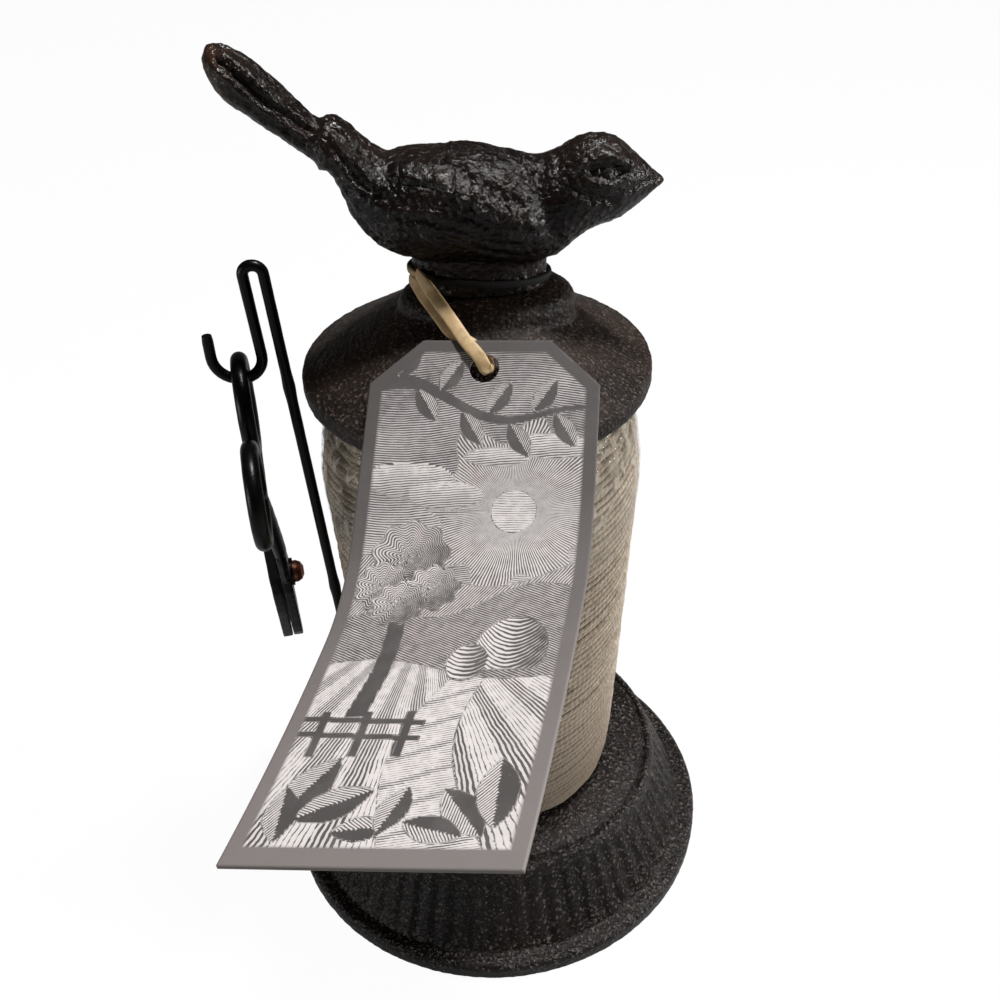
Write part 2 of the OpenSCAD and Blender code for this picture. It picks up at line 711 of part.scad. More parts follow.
module tag_band() {
    n = len(band_ring);
    last = len(band_hairpin) - 1;
    round_rings = band_rings(band_ring, [for (i = [0 : n - 1]) (i + n - 1) % n],
        [for (i = [0 : n - 1]) (i + 1) % n]);
    open_rings = band_rings(band_hairpin, [for (i = [0 : last]) max(i - 1, 0)],
        [for (i = [0 : last]) min(i + 1, last)]);
    color("#c9a978") union() {
        hoop(round_rings);
        loft(open_rings);
    }
}

module tag_card() {
    rest = (tag_len - tag_cut_h) / (tag_rows - 2);
    rows = [for (i = [0 : tag_rows]) i < 3 ? tag_cut_h * i / 2 : tag_cut_h + rest * (i - 2)];
    rings = [for (v = rows) concat(
        [for (j = [0 : tag_cols]) card_point(card_half(v) * (2 * j / tag_cols - 1), v, 0)],
        [for (j = [tag_cols : -1 : 0]) card_point(card_half(v) * (2 * j / tag_cols - 1), v, tag_t)])];
    lean_a = atan2(norm([tag_hole_axis.x, tag_hole_axis.y]), tag_hole_axis.z);
    lean_b = atan2(tag_hole_axis.y, tag_hole_axis.x);
    color("#b9b3b1") difference() {
        loft(rings);
        translate(tag_hole) rotate([0, lean_a, lean_b])
            translate([0, 0, -tag_hole_d / 2]) cylinder(h = tag_hole_d, d = tag_hole_d);
    }
}

// Places its children at the pivot: thickness along x, across the scissors along y, handles up
module at_pivot() {
    translate([scissor_x, hook_y, 0]) rotate([0, 0, hang_turn])
        translate([0, pivot_y - hook_y, pivot_z]) rotate([hang_tilt, 0, 0]) children();
}

// One half: side is 1 for the loop that hangs and -1 for the free loop, which lies nearer the body
module scissor_half(side, bore_r) {
    layer = side > 0 ? -blade_gap / 2 - blade_t : blade_gap / 2;
    loop_at = [0, side * loop_side, loop_up];
    shank_end = [0, side * (loop_side - loop_mean_r * 0.55), loop_up - loop_mean_r * 0.84];
    difference() {
        union() {
            translate([layer, 0, 0]) rotate([90, 0, 90]) linear_extrude(height = blade_t) polygon([
                [side * 5.2, tang_up],
                [side * 1.4, tang_up],
                [-side * blade_w * 0.42, blade_w * 0.4],
                [-side * blade_w * 0.48, -blade_w * 0.5],
                [-side * 1.6, -blade_len + 3],
                [0, -blade_len],
                [side * 1.2, -blade_len + 4],
                [side * blade_w * 0.42, -blade_w * 0.6],
                [side * blade_w * 0.46, blade_w * 0.3]
            ]);
            hull() {
                translate([layer + blade_t / 2, side * 3.2, tang_up - 2]) sphere(d = blade_t, $fn = 16);
                translate([layer + blade_t / 2, side * 3.6, tang_up + 4]) sphere(d = blade_t + 0.9, $fn = 16);
                translate(shank_end) sphere(d = loop_rod * 0.98, $fn = 20);
            }
            translate(loop_at) rotate([0, 90, 0]) rotate_extrude($fn = 64)
                translate([loop_mean_r, 0]) circle(d = loop_rod, $fn = 32);
        }
        rotate([0, 90, 0]) cylinder(h = 4 * (blade_t + loop_rod), r = bore_r, center = true);
    }
}

module scissor_half_hung() {
    color(black) at_pivot() scissor_half(1, pivot_r + fit);
}

module scissor_half_free() {
    color(black) at_pivot() scissor_half(-1, pivot_r + pivot_fit);
}

module scissor_pivot_screw() {
    under = blade_gap / 2 + blade_t + pivot_washer_t;
    color("#5b322a") at_pivot() {
        translate([-under + pivot_washer_t, 0, 0]) rotate([0, 90, 0])
            cylinder(h = 2 * under - pivot_washer_t, r = pivot_r);
        translate([under, 0, 0]) rotate([0, 90, 0]) rotate_extrude($fn = 48) polygon([
            [0, 0],
            [pivot_head_d / 2, 0],
            [pivot_head_d / 2, pivot_head_h * 0.35],
            [pivot_head_d * 0.4, pivot_head_h * 0.75],
            [pivot_head_d * 0.2, pivot_head_h],
            [0, pivot_head_h]
        ]);
    }
}

module scissor_pivot_washer() {
    color(black) at_pivot() translate([blade_gap / 2 + blade_t, 0, 0]) rotate([0, 90, 0])
        ring_washer(pivot_washer_d, pivot_washer_t, pivot_r + fit);
}

base_casting();
spindle_rod();
spindle_washer();
spindle_nuts();
lid_stop_nut();
scissor_hook();
hook_nuts();
hook_washers();
spool_core();
twine_body();
twine_winding();
shoulder_film();
lid_casting();
bird_casting();
bird_screws();
bird_screw_washers();
tag_band();
tag_card();
scissor_half_hung();
scissor_half_free();
scissor_pivot_screw();
scissor_pivot_washer();
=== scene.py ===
"""Looks of a string holder: cast base, spool of twine, lid with a bird, wire hook, scissors and hang tag."""

from __future__ import annotations

import logging
import math
import random
from dataclasses import dataclass, field
from enum import Enum
from typing import Any, Sequence

import bmesh
import bpy
import numpy as np
from mathutils import Matrix, Vector, noise

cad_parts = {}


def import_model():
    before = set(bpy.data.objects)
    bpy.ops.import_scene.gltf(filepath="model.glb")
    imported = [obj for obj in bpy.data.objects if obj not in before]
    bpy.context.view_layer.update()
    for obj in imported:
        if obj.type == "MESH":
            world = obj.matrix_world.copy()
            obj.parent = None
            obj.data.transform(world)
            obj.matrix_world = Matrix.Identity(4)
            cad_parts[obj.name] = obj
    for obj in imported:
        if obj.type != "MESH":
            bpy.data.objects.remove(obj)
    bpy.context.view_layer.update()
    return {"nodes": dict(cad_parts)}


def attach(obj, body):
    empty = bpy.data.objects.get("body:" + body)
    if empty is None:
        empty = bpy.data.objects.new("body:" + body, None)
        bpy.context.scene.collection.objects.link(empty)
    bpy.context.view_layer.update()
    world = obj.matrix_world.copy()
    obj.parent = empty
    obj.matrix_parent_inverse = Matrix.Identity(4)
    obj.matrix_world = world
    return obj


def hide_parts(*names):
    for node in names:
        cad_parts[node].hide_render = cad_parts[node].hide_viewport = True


LOG = logging.getLogger("string_holder")
MM = 0.001
WHITE = (1.0, 1.0, 1.0, 1.0)
Colour = tuple[float, float, float]
Line = Sequence[tuple[float, float]]


class Body(Enum):
    """The moving bodies of the holder."""

    BASE = "base"
    SPOOL = "spool"
    TOP = "top"
    TAG = "tag"
    SCISSORS_HUNG = "scissors_hung"
    SCISSORS_FREE = "scissors_free"


class Slot(Enum):
    """The record's finishes."""

    CASTING = "casting"
    STEEL = "steel"
    BLACK_PAINT = "black_paint"
    COPPER = "copper_screw"
    CORE = "core_card"
    TWINE = "twine"
    FILM = "film"
    CARD = "tag_card"
    BAND = "band"


# Shader tools


class Wire:
    """A shader value that adds Math nodes when Python operators combine it with others."""

    def __init__(self, bench: "Bench", socket: bpy.types.NodeSocket) -> None:
        """Keeps the bench that owns the node and the socket that carries the value."""
        self.bench = bench
        self.socket = socket

    def _math(self, operation: str, first: Any, second: Any) -> "Wire":
        """Adds a Math node.

        Args:
            operation: The node's operation.
            first: Left value, a wire or a number.
            second: Right value, a wire or a number.

        Returns:
            The result as a wire.
        """
        node = self.bench.node("ShaderNodeMath", {"operation": operation}, {0: first, 1: second})
        return Wire(self.bench, node.outputs[0])

    def __add__(self, other: Any) -> "Wire":
        """Sum."""
        return self._math("ADD", self, other)

    __radd__ = __add__

    def __sub__(self, other: Any) -> "Wire":
        """Difference."""
        return self._math("SUBTRACT", self, other)

    def __rsub__(self, other: Any) -> "Wire":
        """Difference from a number."""
        return self._math("SUBTRACT", other, self)

    def __mul__(self, other: Any) -> "Wire":
        """Product."""
        return self._math("MULTIPLY", self, other)

    __rmul__ = __mul__

    def __truediv__(self, other: Any) -> "Wire":
        """Quotient."""
        return self._math("DIVIDE", self, other)

    def sine(self) -> "Wire":
        """Sine of the value in radians."""
        return self._math("SINE", self, 0.0)

    def greater(self, other: Any) -> "Wire":
        """Larger of two values."""
        return self._math("MAXIMUM", self, other)

    def ease(self, low: Any, high: Any) -> "Wire":
        """Smooth step from 0 at low to 1 at high.

        Args:
            low: Value that gives 0.
            high: Value that gives 1.

        Returns:
            The step as a wire.
        """
        node = self.bench.node(
            "ShaderNodeMapRange",
            {"interpolation_type": "SMOOTHSTEP"},
            {"Value": self, "From Min": low, "From Max": high},
        )
        return Wire(self.bench, node.outputs[0])


class Bench:
    """The node tree of one finish, or of the world."""

    def __init__(self, name: str, world: bool = False) -> None:
        """Starts a material, or the world, with an empty node tree.

        Args:
            name: Name of the material or the world.
            world: Whether it is the world's tree.
        """
        self.owner = (bpy.data.worlds if world else bpy.data.materials).new(name)
        self.owner.use_nodes = True
        self.tree = self.owner.node_tree
        self.tree.nodes.clear()
        self.end = self.tree.nodes.new("ShaderNodeOutputWorld" if world else "ShaderNodeOutputMaterial")

    def node(self, kind: str, settings: dict[str, Any] | None = None,
             links: dict[Any, Any] | None = None) -> Any:
        """Adds a node.

        Args:
            kind: The node's type.
            settings: Properties to set first.
            links: Values or wires by socket name or number.

        Returns:
            The new node.
        """
        node = self.tree.nodes.new(kind)
        for key, value in (settings or {}).items():
            setattr(node, key, value)
        for key, value in (links or {}).items():
            socket = node.inputs[key]
            if isinstance(value, Wire):
                self.tree.links.new(value.socket, socket)
            else:
                socket.default_value = value
        return node

    def place(self) -> Wire:
        """Coordinates of the piece in the row frame."""
        return Wire(self, self.node("ShaderNodeTexCoord").outputs["Object"])

    def own(self, name: str) -> Wire:
        """One of the piece's own attributes."""
        return Wire(self, self.node("ShaderNodeAttribute", {"attribute_name": name}).outputs["Fac"])

    def grain(self, size_mm: float, detail: float = 3.0, rough: float = 0.55, warp: float = 0.0,
              at: Wire | None = None) -> Wire:
        """Cloudy noise.

        Args:
            size_mm: Size of a grain.
            detail: Number of finer layers.
            rough: Strength of the finer layers.
            warp: How much the pattern is distorted.
            at: Coordinates, those of the piece if left out.

        Returns:
            Noise around 0.5.
        """
        links = {"Vector": at or self.place(), "Scale": 1.0 / (size_mm * MM), "Detail": detail,
                 "Roughness": rough, "Distortion": warp}
        return Wire(self, self.node("ShaderNodeTexNoise", None, links).outputs[0])

    def pebbles(self, size_mm: float, soft: float = 0.6) -> Wire:
        """Rounded cells, as of a cast skin.

        Args:
            size_mm: Size of a cell.
            soft: How much the cells melt together.

        Returns:
            Distance from the middle of a cell.
        """
        links = {"Vector": self.place(), "Scale": 1.0 / (size_mm * MM), "Smoothness": soft}
        node = self.node("ShaderNodeTexVoronoi", {"feature": "SMOOTH_F1"}, links)
        return Wire(self, node.outputs["Distance"])

    def blend(self, share: Wire | float, first: Any, second: Any) -> Wire:
        """Mix of two colours.

        Args:
            share: Share of the second colour.
            first: First colour or wire.
            second: Second colour or wire.

        Returns:
            The mixed colour.
        """
        def whole(colour: Any) -> Any:
            """Colour with its alpha."""
            return colour if isinstance(colour, Wire) else (*colour, 1.0)

        links = {0: share, 6: whole(first), 7: whole(second)}
        return Wire(self, self.node("ShaderNodeMix", {"data_type": "RGBA"}, links).outputs[2])

    def height(self) -> Wire:
        """Height in the row frame."""
        return Wire(self, self.node("ShaderNodeSeparateXYZ", None, {0: self.place()}).outputs[2])

    def ray(self, *kinds: str) -> list[Wire]:
        """Whether the surface is met by rays of some kinds."""
        node = self.node("ShaderNodeLightPath")
        return [Wire(self, node.outputs[kind]) for kind in kinds]

    def bump(self, height: Wire, strength: float, depth_mm: float) -> Wire:
        """Relief for a shader's normal.

        Args:
            height: Height between 0 and 1.
            strength: Strength of the relief.
            depth_mm: Depth of a height of 1.

        Returns:
            The bent normal.
        """
        node = self.node("ShaderNodeBump", None,
                         {"Strength": strength, "Distance": depth_mm * MM, "Height": height})
        return Wire(self, node.outputs[0])

    def surface(self, sockets: dict[str, Any]) -> bpy.types.Material:
        """Ends the tree in a principled surface.

        Args:
            sockets: Values or wires of the surface.

        Returns:
            The finished material.
        """
        colours = ("Base Color", "Emission Color", "Sheen Tint")
        ready = {k: (*v, 1.0) if k in colours and not isinstance(v, Wire) else v for k, v in sockets.items()}
        return self.close(self.node("ShaderNodeBsdfPrincipled", None, ready))

    def close(self, node: bpy.types.Node) -> Any:
        """Ends the tree in a node and returns the material or the world."""
        self.tree.links.new(node.outputs[0], self.end.inputs["Surface"])
        return self.owner


# Finishes


@dataclass(frozen=True)
class CastFinish:
    """Rough cast iron under a thin dark lacquer, with light specks painted on the grain's high spots as
    glints.
    """

    name: str
    dark: Colour = (0.0050, 0.0031, 0.0024)
    warm: Colour = (0.0165, 0.0098, 0.0072)
    rough: float = 0.18
    grain_mm: float = 1.1
    relief: float = 1.05
    gloss: float = 0.33
    painted_glint: Colour = (0.024, 0.0185, 0.016)
    painted_glint_span: tuple[float, float] = (0.61, 0.73)
    painted_glint_share: float = 0.85
    bump_mm: float = 0.6
    rust: Colour | None = None

    def material(self) -> bpy.types.Material:
        """Builds the finish.

        Returns:
            The material.
        """
        bench = Bench(self.name)
        coarse = bench.grain(self.grain_mm, 4.0, 0.6, 0.6)
        cells = bench.pebbles(self.grain_mm * 1.25)
        cloud = bench.grain(14.0, 3.0, 0.55)
        height = coarse * 0.65 + (1.0 - cells) * 0.45
        colour = bench.blend(cloud.ease(0.35, 0.7), self.dark, self.warm)
        # Light specks on the grain's high spots: painted glints.
        colour = bench.blend(height.ease(*self.painted_glint_span) * self.painted_glint_share, colour, self.painted_glint)
        if self.rust:
            tip = bench.own("worn") * bench.grain(3.0, 3.0).ease(0.35, 0.65)
            colour = bench.blend(tip * 0.75, colour, self.rust)
        rough = coarse * 0.22 + (self.rough - 0.11)
        return bench.surface({
            "Base Color": colour,
            "Roughness": rough,
            "Specular IOR Level": self.gloss,
            "Normal": bench.bump(height, self.relief, self.bump_mm),
        })


@dataclass(frozen=True)
class PaintFinish:
    """Semi-gloss black paint, with bare steel where the piece's own mark says so."""

    name: str
    paint: Colour = (0.0022, 0.0022, 0.0024)
    dusty: Colour = (0.006, 0.0058, 0.0055)
    steel: Colour = (0.22, 0.215, 0.21)
    scratched: Colour = (0.12, 0.115, 0.11)
    gloss: float = 0.22
    bare: bool = False

    def material(self) -> bpy.types.Material:
        """Builds the finish.

        Returns:
            The material.
        """
        bench = Bench(self.name)
        orange = bench.grain(1.6, 2.0)
        dust = bench.grain(6.0, 4.0, 0.6)
        colour = bench.blend(dust.ease(0.45, 0.75) * 0.4, self.paint, self.dusty)
        rough: Any = dust * 0.16 + 0.24
        sockets: dict[str, Any] = {
            "Specular IOR Level": self.gloss, "Normal": bench.bump(orange, 0.25, 0.12)}
        if self.bare:
            mark = bench.own("bare")
            scratch = bench.grain(0.9, 3.0, 0.6)
            steel = bench.blend(scratch, self.steel, self.scratched)
            colour = bench.blend(mark, colour, steel)
            rough = rough * (1.0 - mark) + mark * 0.34
            sockets["Metallic"] = mark
        return bench.surface({"Base Color": colour, "Roughness": rough, **sockets})


@dataclass(frozen=True)
class MetalFinish:
    """Plain or dulled bare metal with fine scratches."""

    name: str
    light: Colour = (0.50, 0.49, 0.48)
    dull: Colour = (0.28, 0.265, 0.25)
    rough: float = 0.36
    metal: float = 1.0

    def material(self) -> bpy.types.Material:
        """Builds the finish.

        Returns:
            The material.
        """
        bench = Bench(self.name)
        stain = bench.grain(2.4, 4.0, 0.6)
        fine = bench.grain(0.35, 2.0)
        return bench.surface({
            "Base Color": bench.blend(stain.ease(0.4, 0.7), self.light, self.dull),
            "Metallic": self.metal,
            "Roughness": stain * 0.2 + (self.rough - 0.1),
            "Normal": bench.bump(fine, 0.2, 0.05),
        })


@dataclass(frozen=True)
class TwineFinish:
    """Undyed twisted twine: the piece's own marks give the way along and round the strand, and a painted
    shade low on the spool.
    """

    name: str
    pale: Colour = (0.95, 0.815, 0.645)
    deep: Colour = (0.26, 0.187, 0.125)
    stained: Colour = (0.84, 0.76, 0.65)
    twist_mm: float = 3.2
    low_shade_share: float = 0.7

    def material(self) -> bpy.types.Material:
        """Builds the finish.

        Returns:
            The material.
        """
        bench = Bench(self.name)
        way = bench.own("way")
        turn = bench.own("turn")
        ply = ((way / self.twist_mm + turn) * (2.0 * math.tau)).sine() * 0.5 + 0.5
        fibre = bench.grain(0.45, 3.0, 0.65)
        stain = bench.grain(7.0, 3.0, 0.6)
        colour = bench.blend(ply * 0.3 + fibre * 0.9 - 0.1, self.deep, self.pale)
        colour = bench.blend(stain.ease(0.5, 0.8) * 0.3, colour, self.stained)
        uneven = bench.grain(3.2, 3.0, 0.6).ease(0.46, 0.7) * 0.55
        # Random darker patches, and painted shade that darkens the strand towards the foot of the spool.
        colour = bench.blend((bench.own("low_shade") * self.low_shade_share).greater(uneven), colour, self.deep)
        return bench.surface({
            "Base Color": colour,
            "Roughness": 0.85,
            "Sheen Weight": 0.2,
            "Normal": bench.bump(ply * 0.4 + fibre * 0.7, 0.6, 0.22),
        })


@dataclass(frozen=True)
class ShadedUnderTwineFinish:
    """Deeper layers of twine, seen through the gaps, in colours darkened as painted shade."""

    name: str
    # Far darker than the twine's own colour: painted shade in the gaps.
    deep: Colour = (0.045, 0.034, 0.025)
    pale: Colour = (0.19, 0.155, 0.12)
    row_mm: float = 1.3

    def material(self) -> bpy.types.Material:
        """Builds the finish.

        Returns:
            The material.
        """
        bench = Bench(self.name)
        rows = (bench.height() * (math.tau / (self.row_mm * MM)) + bench.grain(5.0) * 5.0).sine() * 0.5 + 0.5
        fibre = bench.grain(0.5, 3.0, 0.65)
        return bench.surface({
            "Base Color": bench.blend(rows * 0.6 + fibre * 0.4, self.deep, self.pale),
            "Roughness": 0.9,
            "Normal": bench.bump(rows + fibre * 0.4, 0.8, 0.5),
        })


@dataclass(frozen=True)
class FilmFinish:
    """Clear shrink film: nearly unseen where it is flat, milky where it is wrinkled, with pale streaks
    painted as glints.
    """

    name: str
    tint: Colour = (0.93, 0.83, 0.66)
    flat_alpha: float = 0.1
    crease_alpha: float = 0.1
    fold_alpha: float = 0.6
    glint_streak_alpha: float = 0.42

    def material(self) -> bpy.types.Material:
        """Builds the finish.

        Returns:
            The material.
        """
        bench = Bench(self.name)
        crease = bench.grain(5.0, 3.0, 0.55, 1.2)
        fine = bench.grain(1.8, 2.0)
        # Milky wrinkles, strongest on the shoulder: partly the film's own and partly a painted highlight.
        wrinkled = crease.ease(0.5, 0.68) * (bench.own("fold") * self.fold_alpha + self.crease_alpha)
        return bench.surface({
            "Base Color": self.tint,
            "Roughness": 0.07,
            "IOR": 1.5,
            # Pale streaks of the tint: painted glints.
            "Alpha": wrinkled + bench.own("glint_streak") * self.glint_streak_alpha + self.flat_alpha,
            "Coat Weight": 1.0,
            "Coat Roughness": 0.04,
            "Normal": bench.bump(crease + fine * 0.3, 0.9, 1.5),
        })


@dataclass(frozen=True)
class CardFinish:
    """Printed card: a grey border round a hatched picture, and a plain back; the border is painted darker
    towards the top as shade.
    """

    name: str
    paper: Colour = (0.88, 0.815, 0.795)
    shaded: Colour = (0.36, 0.325, 0.315)
    faded: Colour = (0.40, 0.365, 0.355)
    ink: Colour = (0.045, 0.039, 0.037)
    # Border colour at the card's top, in painted shade, and lighter at its foot as painted light.
    border: Colour = (0.092, 0.081, 0.077)
    border_lit_low: Colour = (0.26, 0.229, 0.219)
    back: Colour = (0.42, 0.37, 0.33)
    pitch_mm: float = 0.5

    def material(self) -> bpy.types.Material:
        """Builds the finish.

        Returns:
            The material.
        """
        bench = Bench(self.name)
        fibre = bench.grain(0.5, 4.0, 0.65)
        cloud = bench.grain(9.0, 3.0, 0.55)
        shake = bench.grain(1.7, 2.0)
        drift = bench.grain(6.0, 2.0)
        line = bench.own("line")
        tone = bench.own("tone")
        wave = ((line + shake * 0.2 + drift * 0.7) * (math.tau / self.pitch_mm)).sine() * 0.5 + 0.5
        cut = tone + 0.08 + (bench.grain(1.8, 3.0, 0.6) - 0.5) * 0.85
        hatch = (cut - wave).ease(-0.14, 0.14)
        stroke = 1.0 - (bench.own("edge") + (shake - 0.5) * 0.14).ease(0.05, 0.17)
        ink = hatch.greater(stroke)
        ground = bench.blend(tone.ease(0.1, 1.1) * 0.55, self.paper, self.shaded)
        picture = bench.blend(ink * 0.92, ground, self.ink)
        picture = bench.blend(cloud.ease(0.4, 0.8) * 0.2, picture, self.faded)
        # The border runs from painted shade at the top to painted light at the foot.
        rim = bench.blend(bench.own("along") + (fibre + cloud - 1.0) * 0.3, self.border, self.border_lit_low)
        front = bench.blend(bench.own("inside"), rim, picture)
        colour = bench.blend(bench.own("front"), self.back, front)
        return bench.surface({
            "Base Color": colour,
            "Roughness": fibre * 0.2 + 0.55,
            "Normal": bench.bump(fibre, 0.25, 0.06),
        })


@dataclass(frozen=True)
class BandFinish:
    """Tan rubber, painted near black as shade where it rings the bird's stem."""

    name: str
    deep: Colour = (0.52, 0.345, 0.165)
    pale: Colour = (0.76, 0.555, 0.31)
    black: Colour = (0.005, 0.0036, 0.0028)

    def material(self) -> bpy.types.Material:
        """Builds the finish.

        Returns:
            The material.
        """
        bench = Bench(self.name)
        cloud = bench.grain(3.0, 4.0, 0.6)
        fine = bench.grain(0.4, 2.0)
        tan = bench.blend(cloud.ease(0.3, 0.75), self.deep, self.pale)
        return bench.surface({
            # Near black on the ring round the stem: painted shade under the bird.
            "Base Color": bench.blend(bench.own("stem_shade"), tan, self.black),
            "Roughness": (cloud * 0.2 + 0.38).greater(bench.own("stem_shade") * 0.8),
            "Normal": bench.bump(fine, 0.25, 0.08),
        })


@dataclass(frozen=True)
class CoreFinish:
    """Brown cardboard of the spool's core."""

    name: str
    deep: Colour = (0.22, 0.15, 0.09)
    pale: Colour = (0.36, 0.26, 0.165)

    def material(self) -> bpy.types.Material:
        """Builds the finish.

        Returns:
            The material.
        """
        bench = Bench(self.name)
        fibre = bench.grain(0.7, 4.0, 0.65)
        return bench.surface({
            "Base Color": bench.blend(fibre, self.deep, self.pale),
            "Roughness": 0.85,
            "Normal": bench.bump(fibre, 0.3, 0.1),
        })


# Mesh tools


def flow(xs: Sequence[float], ys: Sequence[float], at: np.ndarray) -> np.ndarray:
    """Smooth curve through points.

    Args:
        xs: Rising places of the points.
        ys: Their heights.
        at: Places to read.

    Returns:
        Heights at those places.
    """
    px, py = np.asarray(xs, float), np.asarray(ys, float)
    slope = np.gradient(py, px)
    i = np.clip(np.searchsorted(px, at) - 1, 0, len(px) - 2)
    run = px[i + 1] - px[i]
    t = np.clip((at - px[i]) / run, 0.0, 1.0)
    rise = (1 + 2 * t) * (1 - t) ** 2 * py[i] + t**2 * (3 - 2 * t) * py[i + 1]
    return rise + run * (t * (1 - t) ** 2 * slope[i] + t**2 * (t - 1) * slope[i + 1])


def ease(value: np.ndarray, low: float, high: float) -> np.ndarray:
    """Smooth step from 0 at low to 1 at high.

    Args:
        value: Values to read.
        low: Value that gives 0.
        high: Value that gives 1.

    Returns:
        The steps.
    """
    t = np.clip((value - low) / (high - low), 0.0, 1.0)
    return t * t * (3 - 2 * t)


def hump(value: np.ndarray, width: float) -> np.ndarray:
    """Bell that is 1 at 0."""
    return np.exp(-((value / width) ** 2))


def beside(line: Line, x: np.ndarray, z: np.ndarray) -> tuple[np.ndarray, np.ndarray, np.ndarray, float]:
    """Where points lie beside a broken line.

    Args:
        line: Corners of the line.
        x: First coordinates of the points.
        z: Second coordinates of the points.

    Returns:
        Distance, way along the line, side (1 on the left), and the line's length.
    """
    near = np.full(x.shape, 1e9)
    way = np.zeros(x.shape)
    side = np.ones(x.shape)
    run = 0.0
    for (x0, z0), (x1, z1) in zip(line, line[1:]):
        dx, dz = x1 - x0, z1 - z0
        length = math.hypot(dx, dz)
        t = np.clip(((x - x0) * dx + (z - z0) * dz) / length**2, 0.0, 1.0)
        px, pz = x - x0 - t * dx, z - z0 - t * dz
        d = np.hypot(px, pz)
        closer = d < near
        near = np.where(closer, d, near)
        way = np.where(closer, run + t * length, way)
        side = np.where(closer, np.where(dx * pz - dz * px >= 0, 1.0, -1.0), side)
        run += length
    return near, way, side, run


def way_along(path: np.ndarray) -> np.ndarray:
    """Distance along a path at each of its points."""
    return np.concatenate([[0.0], np.cumsum(np.linalg.norm(np.diff(path, axis=0), axis=1))])


def cloud(points: np.ndarray, size_mm: float, octaves: int = 2, seed: float = 0.0) -> np.ndarray:
    """Noise at points in millimetres, about -1 to 1.

    Args:
        points: Rows of coordinates.
        size_mm: Size of a grain.
        octaves: Number of layers.
        seed: Shift of the pattern.

    Returns:
        One value per point.
    """
    scaled = points / size_mm + seed
    return np.array([noise.fractal(Vector(p), 1.0, 2.0, octaves) for p in scaled])


def placed(name: str, data: Any) -> bpy.types.Object:
    """New object in the scene.

    Args:
        name: Name of the object.
        data: Its mesh, curve, lamp or camera.

    Returns:
        The object.
    """
    thing = bpy.data.objects.new(name, data)
    bpy.context.scene.collection.objects.link(thing)
    return thing


class Mould:
    """A mesh in the making, in millimetres."""

    def __init__(self) -> None:
        """Starts with nothing."""
        self.mesh = bmesh.new()

    def ring(self, place: Matrix, half_a: float, half_b: float, count: int) -> list[bmesh.types.BMVert]:
        """Oval ring.

        Args:
            place: Where the ring's own xy plane lies.
            half_a: Half size along its x.
            half_b: Half size along its y.
            count: Number of corners.

        Returns:
            The corners in order.
        """
        matrix = place @ Matrix.Diagonal((half_a, half_b, 1.0, 1.0))
        return bmesh.ops.create_circle(self.mesh, segments=count, radius=1.0, matrix=matrix)["verts"]

    @staticmethod
    def edges_of(ring: Sequence[bmesh.types.BMVert]) -> list[bmesh.types.BMEdge]:
        """Edges of a ring that nothing else is joined to."""
        return list(dict.fromkeys(e for v in ring for e in v.link_edges))

    def skin(self, rings: Sequence[list[bmesh.types.BMVert]], closed: bool = False) -> None:
        """Skin over rings.

        Args:
            rings: Rings of equal length, in order.
            closed: Whether the last ring meets the first; else both ends are capped.
        """
        edges = [self.edges_of(ring) for ring in rings]
        pairs = list(zip(edges, edges[1:])) + ([(edges[-1], edges[0])] if closed else [])
        for first, second in pairs:
            bmesh.ops.bridge_loops(self.mesh, edges=first + second)
        if not closed:
            for loop in (edges[0], edges[-1]):
                bmesh.ops.holes_fill(self.mesh, edges=loop, sides=0)

    def lathe(self, outline: Line, steps: int) -> None:
        """Turned solid.

        Args:
            outline: Closed outline as radius and height.
            steps: Number of steps round the axis.
        """
        verts = [self.mesh.verts.new((r, 0.0, z)) for r, z in outline]
        edges = [self.mesh.edges.new(pair) for pair in zip(verts, verts[1:] + verts[:1])]
        bmesh.ops.spin(self.mesh, geom=verts + edges, cent=(0, 0, 0), axis=(0, 0, 1), dvec=(0, 0, 0),
                       angle=math.tau, steps=steps, use_merge=True)
        bmesh.ops.remove_doubles(self.mesh, verts=self.mesh.verts, dist=1e-5)

    def draw_out(self, faces: Sequence[bmesh.types.BMFace], by: Sequence[float]) -> None:
        """Draws flat faces out into a solid.

        Args:
            faces: The flat faces.
            by: How far, and which way.
        """
        drawn = bmesh.ops.extrude_face_region(self.mesh, geom=list(faces))["geom"]
        far = [v for v in drawn if isinstance(v, bmesh.types.BMVert)]
        bmesh.ops.translate(self.mesh, verts=far, vec=by)

    def ball(self, centre: Sequence[float], radius: float) -> None:
        """Ball."""
        bmesh.ops.create_uvsphere(self.mesh, u_segments=24, v_segments=16, radius=radius,
                                  matrix=Matrix.Translation(centre))

    def piece(self, name: str) -> "Piece":
        """Turns the mesh outside out and makes it an object.

        Args:
            name: Name of the piece.

        Returns:
            The piece, still in millimetres.
        """
        bmesh.ops.recalc_face_normals(self.mesh, faces=self.mesh.faces)
        data = bpy.data.meshes.new(name)
        self.mesh.to_mesh(data)
        self.mesh.free()
        return Piece(placed(name, data))


